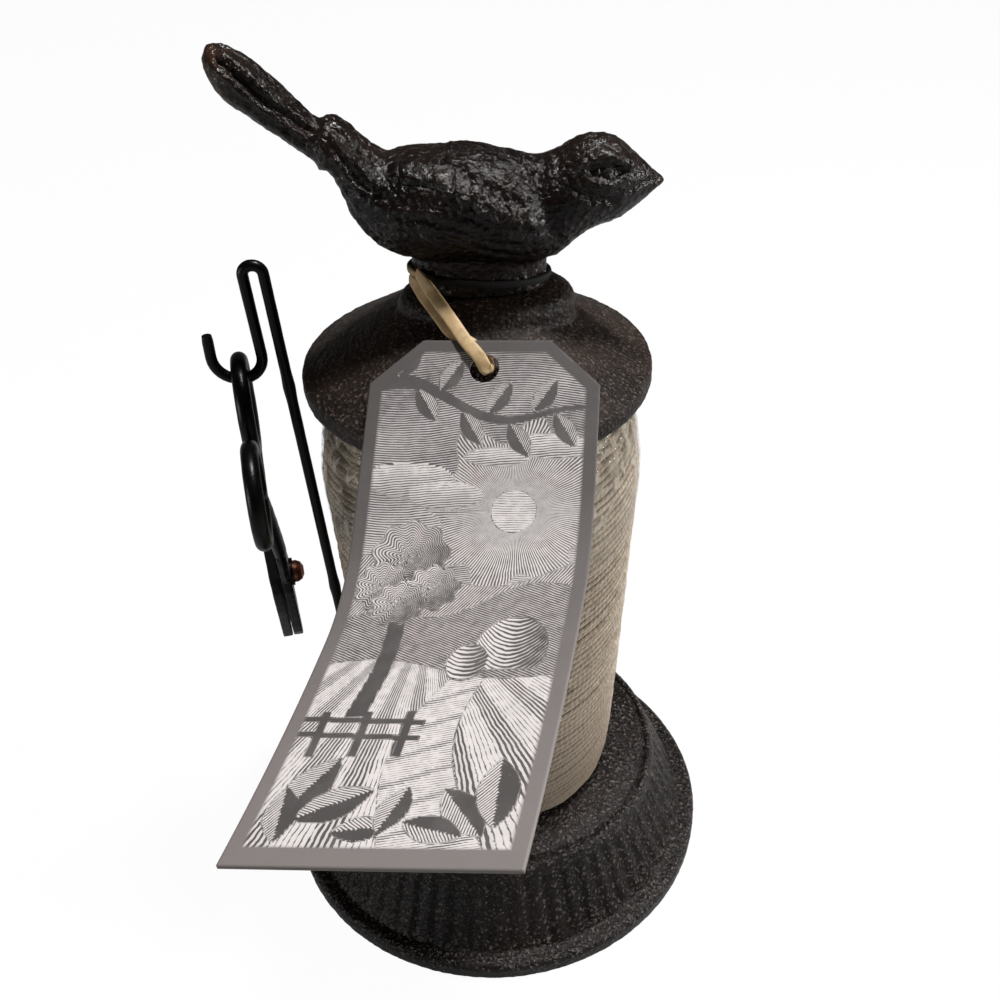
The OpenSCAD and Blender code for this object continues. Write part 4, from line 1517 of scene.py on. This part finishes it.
@dataclass
class ShoulderFilm:
    """Clear film shrunk over the winding's shoulder."""

    foot_z: float = 28.3
    gap: float = -0.02
    thick: float = 0.16
    start: float = 84.0
    stop: float = 119.9
    pleats: float = 23.0
    pleat_mm: float = 0.16
    wave_mm: float = 0.16

    def build(self, spool: TwineSpool, finish: bpy.types.Material) -> None:
        """Models the film over the spool and dresses it.

        Args:
            spool: The spool under it.
            finish: Its material.
        """
        heights = np.linspace(self.start, self.stop, 60)
        outer = [(float(spool.surface_r(h)) + self.gap + self.thick, self.foot_z + h) for h in heights]
        inner = [(r - self.thick, z) for r, z in reversed(outer)]
        mould = Mould()
        mould.lathe(outer + inner, 300)
        piece = mould.piece("clear_film")
        points = piece.points()
        turn = np.arctan2(points[:, 1], points[:, 0])
        height = points[:, 2] - self.foot_z
        pleats = np.sin(turn * self.pleats + 2.4 * cloud(points, 14.0, 2)) * ease(height, 103.0, 114.0)
        waves = cloud(points * np.array([1.0, 1.0, 0.6]), 7.0, 2, 5.0)
        shift = self.wave_mm * waves + self.pleat_mm * pleats
        out = points / np.maximum(np.hypot(points[:, 0], points[:, 1]), 1e-6)[:, None]
        out[:, 2] = 0.0
        piece.move_to(points + out * np.clip(shift, -0.28, 0.3)[:, None])
        # Milkier towards the shoulder: partly the film's own wrinkles, partly a painted highlight.
        piece.mark("fold", ease(height, 84.0, 100.0) * (0.6 + 0.4 * pleats))
        # Streaks on the shoulder: painted glints.
        lines = cloud(points * np.array([1.0, 1.0, 0.22]), 1.5, 2, 8.0)
        patch = cloud(points, 16.0, 1, 2.0)
        piece.mark("glint_streak", ease(lines, 0.25, 0.6) * ease(patch, -0.2, 0.3) * ease(height, 86.0, 94.0))
        piece.dress(Body.SPOOL, Slot.FILM, finish, "shoulder_film")


class Engraving:
    """A hatched picture in the making: darkness, hatch lines and outlines over a flat card."""

    far = 9.0

    def __init__(self, u: np.ndarray, v: np.ndarray) -> None:
        """Starts with bare paper at places across and along the card.

        Args:
            u: Places across the card.
            v: Places along it.
        """
        self.u = u
        self.v = v
        self.tone = np.zeros(u.shape)
        self.line = v.copy()
        self.edge = np.full(u.shape, self.far)

    def lay(self, inside: np.ndarray, dark: np.ndarray | float, strokes: np.ndarray,
            outlined: bool = True) -> None:
        """Lays a shape over what is there.

        Args:
            inside: Distance inside the shape.
            dark: Darkness of its hatching.
            strokes: The number whose steps make its hatch lines.
            outlined: Whether a line is drawn round it.
        """
        mask = inside > 0
        self.tone = np.where(mask, dark, self.tone)
        self.line = np.where(mask, strokes, self.line)
        near = np.abs(inside) if outlined else np.full(inside.shape, self.far)
        self.edge = np.where(mask, near, np.minimum(self.edge, near))

    def rib(self, inside: np.ndarray, across: np.ndarray) -> None:
        """Draws the middle line of a leaf."""
        self.edge = np.where(inside > 0.3, np.minimum(self.edge, np.abs(across) + 0.04), self.edge)


@dataclass
class HangTag:
    """Stiff card with cut corners and a punched hole, printed with a hatched country view."""

    width: float = 46.5
    length: float = 115.0
    thick: float = 0.7
    cut_w: float = 10.2
    cut_h: float = 9.6
    hole_d: float = 6.0
    hole_v: float = 6.2
    slope: float = 34.4
    straight: float = 34.6
    curl_r: float = 40.0
    curl_a: float = 35.5
    bow_r: float = 370.0
    skew: float = 12.7
    roll: float = 10.3
    top: tuple[float, float, float] = (2.2, -21.3, 169.096)
    margin: float = 2.7
    margin_corner: float = 2.5
    margin_low: float = 3.7
    columns: int = 136
    rows: int = 336

    def bend(self, flat: np.ndarray) -> np.ndarray:
        """Bends the flat card over the lid's front.

        Args:
            flat: Rows of across, along and above.

        Returns:
            Rows in the row frame.
        """
        u, v, h = flat.T
        skew, roll = math.radians(self.skew), math.radians(self.roll)
        s = v * math.cos(skew) + u * math.sin(skew)
        t = u * math.cos(skew) - v * math.sin(skew)
        a0 = math.radians(self.slope)
        a1 = math.radians(self.slope - self.curl_a)
        curl_len = self.curl_r * math.radians(self.curl_a)
        turn = np.clip(s - self.straight, 0.0, curl_len) / self.curl_r
        bow = np.maximum(s - self.straight - curl_len, 0.0) / self.bow_r
        lean = a0 - turn - bow
        first = np.minimum(s, self.straight)
        out = first * math.cos(a0) + self.curl_r * (math.sin(a0) - np.sin(a0 - turn))
        out += self.bow_r * (math.sin(a1) - np.sin(a1 - bow))
        up = -first * math.sin(a0) - self.curl_r * (np.cos(a0 - turn) - math.cos(a0))
        up -= self.bow_r * (np.cos(a1 - bow) - math.cos(a1))
        y = -out - h * np.sin(lean)
        z = up + h * np.cos(lean)
        across = t * math.cos(roll) - z * math.sin(roll)
        return np.stack([across, y, t * math.sin(roll) + z * math.cos(roll)], 1) + np.array(self.top)

    @staticmethod
    def leaf(u: np.ndarray, v: np.ndarray,
             place: Sequence[float]) -> tuple[np.ndarray, np.ndarray, np.ndarray]:
        """Pointed leaf.

        Args:
            u: Places across the card.
            v: Places along it.
            place: Middle, length, width and lean in degrees.

        Returns:
            Distance inside the leaf, way along it and way across it.
        """
        cx, cy, long, broad, lean = place
        c, s = math.cos(math.radians(lean)), math.sin(math.radians(lean))
        along = (u - cx) * c - (v - cy) * s
        across = (u - cx) * s + (v - cy) * c
        share = np.clip(along / long + 0.5, 0.0, 1.0)
        half = broad * np.sin(math.pi * share) ** 0.8
        inside = np.where((share > 0) & (share < 1), half - np.abs(across), -1.0)
        return inside, along, across

    def sky(self, art: Engraving) -> None:
        """Lays a hatched sky, a small sun with rays, clouds and a leafy branch.

        Args:
            art: The picture.
        """
        u, v = art.u, art.v
        shade = 0.66 - 0.20 * ease(v, 12.0, 40.0) + 0.10 * np.sin(v * 0.31 + u * 0.11)
        art.lay(np.ones(u.shape), shade, v + 1.3 * np.sin(u * 0.13 + 0.6), False)
        away, turn = np.hypot(u - 8.0, v - 36.0), np.arctan2(v - 36.0, u - 8.0)
        art.lay(17.0 + 3.0 * np.sin(turn * 8.0) - away, 0.24 + 0.012 * away, turn * 13.0, False)
        art.lay(4.4 - away, 0.06, v)
        puffs = ((-13.0, 30.0, 9.0, 3.6), (-5.5, 33.0, 7.5, 2.8), (14.5, 22.5, 8.0, 2.6),
                 (4.0, 25.0, 6.5, 1.9))
        for cx, cy, a, b in puffs:
            inside = (1.0 - np.hypot((u - cx) / a, (v - cy) / b)) * b
            art.lay(inside, 0.04 + 0.40 * ease(v - cy, -b, b), v + 0.10 * u, False)
        middle = 14.0 + 2.6 * np.sin(u * 0.17 + 1.0) + 0.14 * u
        art.lay(1.5 - 0.03 * (u + 20.0) - np.abs(v - middle), 1.3, v * 1.3 + 0.3 * u)
        for k, start in enumerate((-17.0, -12.5, -8.0, -3.0, 2.0, 6.5, 11.0, 15.5)):
            side = 1.0 if k % 2 else -1.0
            root = 14.0 + 2.6 * math.sin(start * 0.17 + 1.0) + 0.14 * start
            inside, along, across = self.leaf(u, v, (start + 1.5, root + 4.2 * side, 8.0, 2.0, -58.0 * side))
            art.lay(inside, np.where(across > 0, 1.2, 0.5), along + np.abs(across) * 0.8)

    def land(self, art: Engraving) -> None:
        """Lays hills, a round tree, a stack of hay, furrows, a fence and leaves in front.

        Args:
            art: The picture.
        """
        u, v = art.u, art.v
        far = v - (49.0 + 3.6 * np.sin(u * 0.14 + 0.8))
        art.lay(far, 0.48, u * 0.8 + v * 0.55)
        near = v - (57.0 - 0.22 * u + 2.2 * np.sin(u * 0.21 + 2.0))
        art.lay(near, 0.66, u * 0.45 - v * 0.9)
        field = v - (73.0 + 0.10 * u + 1.5 * np.sin(u * 0.16))
        rows = np.arctan2(u + 5.0, v - 58.0)
        art.lay(field, np.where(np.sin(rows * 30.0) > -0.1, 0.0, 0.42), rows * 26.0)
        lane = 2.6 + 0.14 * (v - 73.0) - np.abs(u - 7.0 + 5.0 * np.sin((v - 73.0) * 0.09))
        art.lay(np.minimum(lane, field), 0.4 * (np.sin(v * 1.1 + u * 0.5) > 0.8), v + 0.2 * u)
        for cx, cy, r in ((12.0, 68.5, 6.6), (4.8, 71.5, 3.6)):
            inside = np.minimum(r - np.hypot(u - cx, (v - cy) * 0.8), cy + 5.0 - v)
            art.lay(inside, 0.18 + 0.66 * ease(u - cx, -r * 0.7, r * 0.8), v * 0.5 + (u - cx) ** 2 * 0.07)
        stem = 1.5 + 0.012 * (v - 66.0) ** 2 * 0.1 - np.abs(u + 11.0 + 0.9 * np.sin(v * 0.16))
        art.lay(np.minimum(stem, np.minimum(v - 52.0, 84.0 - v)), 1.2, u * 1.2 + 0.15 * v)
        for cx, cy, r in ((-11.0, 46.0, 7.4), (-15.5, 52.5, 5.2), (-5.8, 53.0, 5.2), (-11.5, 56.5, 5.0)):
            away = np.hypot(u - cx, v - cy) + 0.5 * np.sin(np.arctan2(v - cy, u - cx) * 9.0)
            art.lay(r - away, 0.34 + 0.5 * ease((u - cx) + (v - cy), -r, r), away + 0.3 * u)
        for post in (-17.0, -9.5, -2.0):
            art.lay(np.minimum(0.7 - np.abs(u - post), np.minimum(v - 83.0, 93.0 - v)), 1.3, u * 1.3)
        for rail in (85.5, 89.0):
            art.lay(np.minimum(0.5 - np.abs(v - rail - 0.05 * u), 1.0 - u), 1.3, v * 1.3)
        for place in (
            (-14.5, 100.0, 15.0, 3.6, 62.0), (-9.0, 103.0, 13.0, 3.2, 28.0), (-17.0, 105.0, 11.0, 2.8, 100.0),
            (12.0, 104.5, 12.0, 3.0, 130.0), (16.5, 100.5, 14.0, 3.3, 96.0), (8.0, 107.8, 10.0, 2.6, 165.0),
            (-3.0, 107.8, 9.0, 2.4, 8.0), (1.0, 104.0, 9.5, 2.5, 74.0),
        ):
            inside, along, across = self.leaf(u, v, place)
            art.lay(inside, np.where(across > 0, 1.1, 0.3), along * 0.75 + np.abs(across) * 0.8)
            art.rib(inside, across)

    def inside(self, u: np.ndarray, v: np.ndarray) -> np.ndarray:
        """Distance inside the picture's frame.

        Args:
            u: Places across the card.
            v: Places along it.

        Returns:
            Distance, below 0 outside.
        """
        half = self.width / 2.0
        corner = half - self.cut_w + self.cut_w * v / self.cut_h
        lean = math.hypot(1.0, self.cut_w / self.cut_h)
        off = np.abs(u)
        sides = np.minimum(half - self.margin - off, (corner - off) / lean - self.margin_corner)
        return np.minimum(sides, np.minimum(v - self.margin, self.length - self.margin_low - v))

    def build(self, finish: bpy.types.Material) -> None:
        """Cuts, prints and bends the card.

        Args:
            finish: Its material.
        """
        mould = Mould()
        bmesh.ops.create_grid(mould.mesh, x_segments=self.columns, y_segments=self.rows, size=0.5)
        bmesh.ops.scale(mould.mesh, verts=mould.mesh.verts, vec=(self.width, self.length, 1.0))
        bmesh.ops.translate(mould.mesh, verts=mould.mesh.verts, vec=(0.0, self.length / 2.0, 0.0))
        for side in (-1.0, 1.0):
            geom = mould.mesh.verts[:] + mould.mesh.edges[:] + mould.mesh.faces[:]
            bmesh.ops.bisect_plane(
                mould.mesh, geom=geom, dist=1e-4, plane_co=(side * self.width / 2.0, self.cut_h, 0.0),
                plane_no=(side * self.cut_h, -self.cut_w, 0.0), clear_outer=True)
        mould.draw_out(mould.mesh.faces[:], (0.0, 0.0, self.thick))
        piece = mould.piece("hang_tag")
        ends = [Matrix.Translation((0.0, self.hole_v, up)) for up in (-2.0, 3.0)]
        piece.cut(drill("punch", ends, self.hole_d / 2.0, 64))
        flat = piece.points()
        u, v, h = flat.T
        art = Engraving(u, v)
        self.sky(art)
        self.land(art)
        marks = {
            "tone": art.tone, "line": art.line, "edge": art.edge,
            "inside": ease(self.inside(u, v), -0.2, 0.2),
            # Ramp along the card that paints the border's shade at the top.
            "along": ease(v, 0.0, self.length * 1.05),
            "front": ease(h, self.thick * 0.6, self.thick * 0.9),
        }
        for name, values in marks.items():
            piece.mark(name, values)
        piece.move_to(self.bend(flat))
        piece.dress(Body.TAG, Slot.CARD, finish, "tag_card")


@dataclass
class TagBand:
    """Tan rubber band, once round the bird's stem and through the card's hole."""

    wide: float = 2.8
    ring_wide: float = 1.5
    thick: float = 1.2
    neck_x: float = 1.35
    neck_a: float = 14.4
    neck_b: float = 7.7
    neck_z: float = 172.085
    rise: float = 4.4
    dip: float = 2.2
    clear: float = 0.42
    ends: float = 0.25
    upper_a: float = 209.0
    lower_a: float = 190.0
    corners: int = 20

    def grow(self, a: float) -> float:
        """How far the ring lies outside the neck at an angle in degrees."""
        return self.clear * (1.0 + self.ends * abs(math.cos(math.radians(a))))

    def neck(self, a: float, up: float) -> tuple[np.ndarray, np.ndarray]:
        """Point beside the neck.

        Args:
            a: Angle round the neck in degrees.
            up: Height above the neck's foot.

        Returns:
            The point, and the way that the band faces there.
        """
        c, s = math.cos(math.radians(a)), math.sin(math.radians(a))
        out = self.grow(a)
        place = np.array([self.neck_x + (self.neck_a + out) * c, (self.neck_b + out) * s, self.neck_z + up])
        way = np.array([self.neck_b * c, self.neck_a * s, 0.0])
        return place, way / np.linalg.norm(way)

    def ring(self) -> tuple[np.ndarray, np.ndarray]:
        """Points and facings of the ring round the neck.

        Returns:
            Points and directions, one row each.
        """
        angles = np.arange(0.0, 360.0, 4.0)
        drops = self.dip * (1.0 + np.cos(np.radians(angles))) / 2.0
        stops = [self.neck(a, self.rise - drop) for a, drop in zip(angles, drops)]
        return np.array([s[0] for s in stops]), np.array([s[1] for s in stops])

    def hairpin(self, tag: HangTag) -> tuple[np.ndarray, np.ndarray]:
        """Points and facings of the strand through the card's hole.

        Args:
            tag: The card that it goes through.

        Returns:
            Points and directions, one row each.
        """
        v0, w, t = tag.hole_v, self.wide, self.thick
        hole = tag.bend(np.array([[0.0, v0, 0.0], [0.0, v0, 1.0]]))
        facing = hole[1] - hole[0]

        def card(u: float, v: float, h: float) -> tuple[np.ndarray, np.ndarray]:
            """Point by the card."""
            return tag.bend(np.array([[u, v, h]]))[0], facing

        def strand(high: tuple, low: tuple, bow: float) -> list[tuple[np.ndarray, np.ndarray]]:
            """Straight run from the ring to the card that turns flat as it goes.

            Args:
                high: Point and facing at the ring.
                low: Point and facing at the card.
                bow: How far the run stands off a straight line.

            Returns:
                Points and facings between them.
            """
            run = []
            for k in (0.2, 0.4, 0.6, 0.8):
                place = high[0] * (1.0 - k) + low[0] * k + facing * bow * math.sin(math.pi * k)
                turned = min(1.0, k * 2.0)
                run.append((place, high[1] * (1.0 - turned) + low[1] * turned))
            return run

        upper = self.neck(self.upper_a, self.rise * 1.04)
        lower = self.neck(self.lower_a, self.rise * 0.5)
        over = card(-v0 * 0.62, v0 * 0.15, tag.thick + t * 0.92)
        behind = card(-v0 * 1.3, -v0 * 0.45, -t * 0.5)
        stops = [upper, *strand(upper, over, t / 2.0), over]
        stops += [
            card(-w * 0.35, v0 - w * 0.7, tag.thick + t * 1.08),
            card(w * 0.13, v0, tag.thick / 2.0),
            card(0.0, v0 - w * 0.83, -t * 1.17),
            card(-v0 * 0.42, v0 * 0.1, -t * 1.08),
        ]
        stops += [behind, *reversed(strand(lower, behind, 0.0)), lower]
        return np.array([s[0] for s in stops]), np.array([s[1] for s in stops])

    def sweep(self, mould: Mould, path: np.ndarray, face: np.ndarray, wide: float, closed: bool) -> None:
        """Sweeps the band's flat section along a path.

        Args:
            mould: Where the skin is made.
            path: Points in order.
            face: The way that the flat side faces at each point.
            wide: Width of the band.
            closed: Whether the path meets itself.
        """
        if closed:
            ahead = np.roll(path, -1, 0) - np.roll(path, 1, 0)
        else:
            ahead = np.gradient(path, axis=0)
        rings = []
        for place, run, out in zip(path, ahead, face):
            run_way = Vector(run).normalized()
            across = run_way.cross(Vector(out)).normalized()
            up = across.cross(run_way)
            matrix = Matrix.Translation(place) @ Matrix((across, up, run_way)).transposed().to_4x4()
            ring = mould.ring(Matrix(), 1.0, 1.0, self.corners)
            for v in ring:
                a = math.copysign(abs(v.co.x) ** 0.5, v.co.x) * wide / 2.0
                b = math.copysign(abs(v.co.y) ** 0.7, v.co.y) * self.thick / 2.0
                v.co = matrix @ Vector((a * 0.98, b * 0.92, 0.0))
            rings.append(ring)
        mould.skin(rings, closed)

    def build(self, tag: HangTag, finish: bpy.types.Material) -> None:
        """Sweeps the band and dresses it.

        Args:
            tag: The card that it holds.
            finish: Its material.
        """
        mould = Mould()
        self.sweep(mould, *self.ring(), self.ring_wide, True)
        points, facing = self.hairpin(tag)
        way = way_along(points)
        at = np.linspace(0.0, way[-1], 150)
        path = np.stack([flow(way, points[:, i], at) for i in range(3)], 1)
        face = np.stack([np.interp(at, way, facing[:, i]) for i in range(3)], 1)
        self.sweep(mould, path, face, self.wide, False)
        piece = mould.piece("rubber_band")
        away = np.linalg.norm(piece.points() - points[0], axis=1)
        on_ring = np.arange(len(away)) < len(self.ring()[0]) * self.corners
        # Painted shade on the ring round the stem, lightest where the strands leave it.
        piece.mark("stem_shade", np.where(on_ring, 0.35 + 0.65 * ease(away, 1.5, 5.0), 0.0))
        piece.dress(Body.TOP, Slot.BAND, finish, "tag_band")


@dataclass
class Hardware:
    """Small turned parts that keep their own solids and get better finishes."""

    steel: tuple[str, ...] = ("spindle_rod", "spindle_washer", "spindle_nuts", "lid_stop_nut", "hook_nuts",
                              "hook_washers", "bird_screws", "bird_screw_washers")
    copper: tuple[str, ...] = ("scissor_pivot_screw",)
    paint: tuple[str, ...] = ("scissor_pivot_washer",)
    core: tuple[str, ...] = ("spool_core",)

    def build(self, nodes: dict[str, bpy.types.Object], finishes: dict[str, bpy.types.Material]) -> None:
        """Dresses the parts.

        Args:
            nodes: The frame's parts by name.
            finishes: Finishes by the name of the field that they are for.
        """
        for group, finish in finishes.items():
            for name in getattr(self, group):
                for place in nodes[name].material_slots:
                    place.material = finish
                LOG.info("%s: %s", name, finish.name)


@dataclass
class Studio:
    """Pale floor, soft lamps and the camera at the photograph's view."""

    eye: tuple[float, float, float] = (0.0, -0.21905, 0.27561)
    pitch: float = 0.637
    yaw: float = 0.019
    roll: float = -0.032
    lens: float = 39.6
    sensor: float = 36.0
    room: float = 0.03
    glossy_share: float = 0.16
    floor_half: float = 6.0
    floor_grey: float = 0.32
    floor_glow: float = 1.1
    floor_share: float = 0.88
    aim: tuple[float, float, float] = (0.0, 0.0, 0.11)
    lamps: list[tuple[str, tuple[float, float, float], float, float]] = field(default_factory=lambda: [
        ("overhead", (0.18, 0.08, 0.95), 0.13, 7.0),
        ("right_side", (0.90, -0.04, 0.38), 0.15, 5.0),
        ("left_fill", (-0.80, -0.30, 0.16), 0.30, 1.4),
    ])

    def camera(self) -> None:
        """Sets the camera."""
        cp, sp = math.cos(self.pitch), math.sin(self.pitch)
        ahead = Vector((math.sin(self.yaw) * cp, math.cos(self.yaw) * cp, -sp))
        right = Vector((math.cos(self.yaw), -math.sin(self.yaw), 0.0))
        up = right.cross(ahead)
        cr, sr = math.cos(self.roll), math.sin(self.roll)
        right, up = cr * right + sr * up, -sr * right + cr * up
        data = bpy.data.cameras.new("camera")
        data.sensor_width = self.sensor
        data.lens = self.lens
        data.clip_start = 0.01
        thing = placed("camera", data)
        turn = Matrix((right, up, -ahead)).transposed().to_4x4()
        thing.matrix_world = Matrix.Translation(self.eye) @ turn
        bpy.context.scene.camera = thing

    def light(self) -> None:
        """Sets the lamps and the world."""
        for name, place, size, power in self.lamps:
            data = bpy.data.lights.new(name, "AREA")
            data.shape = "DISK"
            data.size = size
            data.energy = power
            turn = (Vector(self.aim) - Vector(place)).to_track_quat("-Z", "Y")
            placed(name, data).matrix_world = Matrix.Translation(place) @ turn.to_matrix().to_4x4()
        bench = Bench("soft_room", world=True)
        seen, through = bench.ray("Is Camera Ray", "Is Transmission Ray")
        level = seen.greater(through).greater(self.room)
        back = bench.node("ShaderNodeBackground", None, {"Color": WHITE, "Strength": level})
        bpy.context.scene.world = bench.close(back)

    def floor(self) -> None:
        """Lays the floor."""
        mesh = bmesh.new()
        bmesh.ops.create_grid(mesh, x_segments=2, y_segments=2, size=self.floor_half)
        data = bpy.data.meshes.new("floor")
        mesh.to_mesh(data)
        mesh.free()
        bench = Bench("pale_floor")
        seen, through, glossy = bench.ray("Is Camera Ray", "Is Transmission Ray", "Is Glossy Ray")
        share = seen.greater(through).greater(glossy * self.glossy_share) * self.floor_share
        matt = bench.node("ShaderNodeBsdfDiffuse", None, {"Color": (*[self.floor_grey] * 3, 1.0)})
        glow = bench.node("ShaderNodeEmission", None, {"Color": WHITE, "Strength": self.floor_glow})
        links = {0: share, 1: Wire(bench, matt.outputs[0]), 2: Wire(bench, glow.outputs[0])}
        data.materials.append(bench.close(bench.node("ShaderNodeMixShader", None, links)))
        placed("floor", data)


def main() -> None:
    """Builds the holder and its studio."""
    logging.basicConfig(level=logging.INFO, format="%(message)s")
    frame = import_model()
    scene = bpy.context.scene
    scene.view_settings.view_transform = "Standard"
    studio = Studio()
    studio.camera()
    studio.light()
    studio.floor()
    cast = CastFinish("cast_iron_bird", rust=(0.085, 0.040, 0.022)).material()
    lid_cast = CastFinish(
        "cast_iron_lid", dark=(0.0105, 0.0064, 0.0044), warm=(0.026, 0.016, 0.0112), rough=0.42,
        grain_mm=0.75, relief=0.9, gloss=0.26, painted_glint=(0.120, 0.088, 0.072),
    ).material()
    base_cast = CastFinish(
        "cast_iron_base", dark=(0.0065, 0.0042, 0.0034), warm=(0.017, 0.0118, 0.0096), rough=0.26,
        grain_mm=0.85, relief=1.2, gloss=0.34, painted_glint=(0.150, 0.122, 0.110),
    ).material()
    paint = PaintFinish("black_paint").material()
    blade = PaintFinish("black_paint_and_blade", bare=True).material()
    steel = MetalFinish("plain_steel").material()
    copper = MetalFinish(
        "dull_copper", light=(0.30, 0.11, 0.075), dull=(0.16, 0.06, 0.045), rough=0.4).material()
    BaseCasting().build(base_cast)
    LidCasting().build(lid_cast)
    BirdCasting().build(cast)
    HookWire().build(paint)
    ScissorPair().build(blade)
    spool = TwineSpool()
    spool.wind(TwineFinish("twine_strand").material())
    spool.fill(ShadedUnderTwineFinish("twine_under_shaded").material())
    ShoulderFilm().build(spool, FilmFinish("clear_film").material())
    tag = HangTag()
    tag.build(CardFinish("printed_card").material())
    TagBand().build(tag, BandFinish("tan_rubber").material())
    Hardware().build(frame["nodes"], {
        "steel": steel, "copper": copper, "paint": paint, "core": CoreFinish("core_card").material()})


if __name__ == "__main__":
    main()
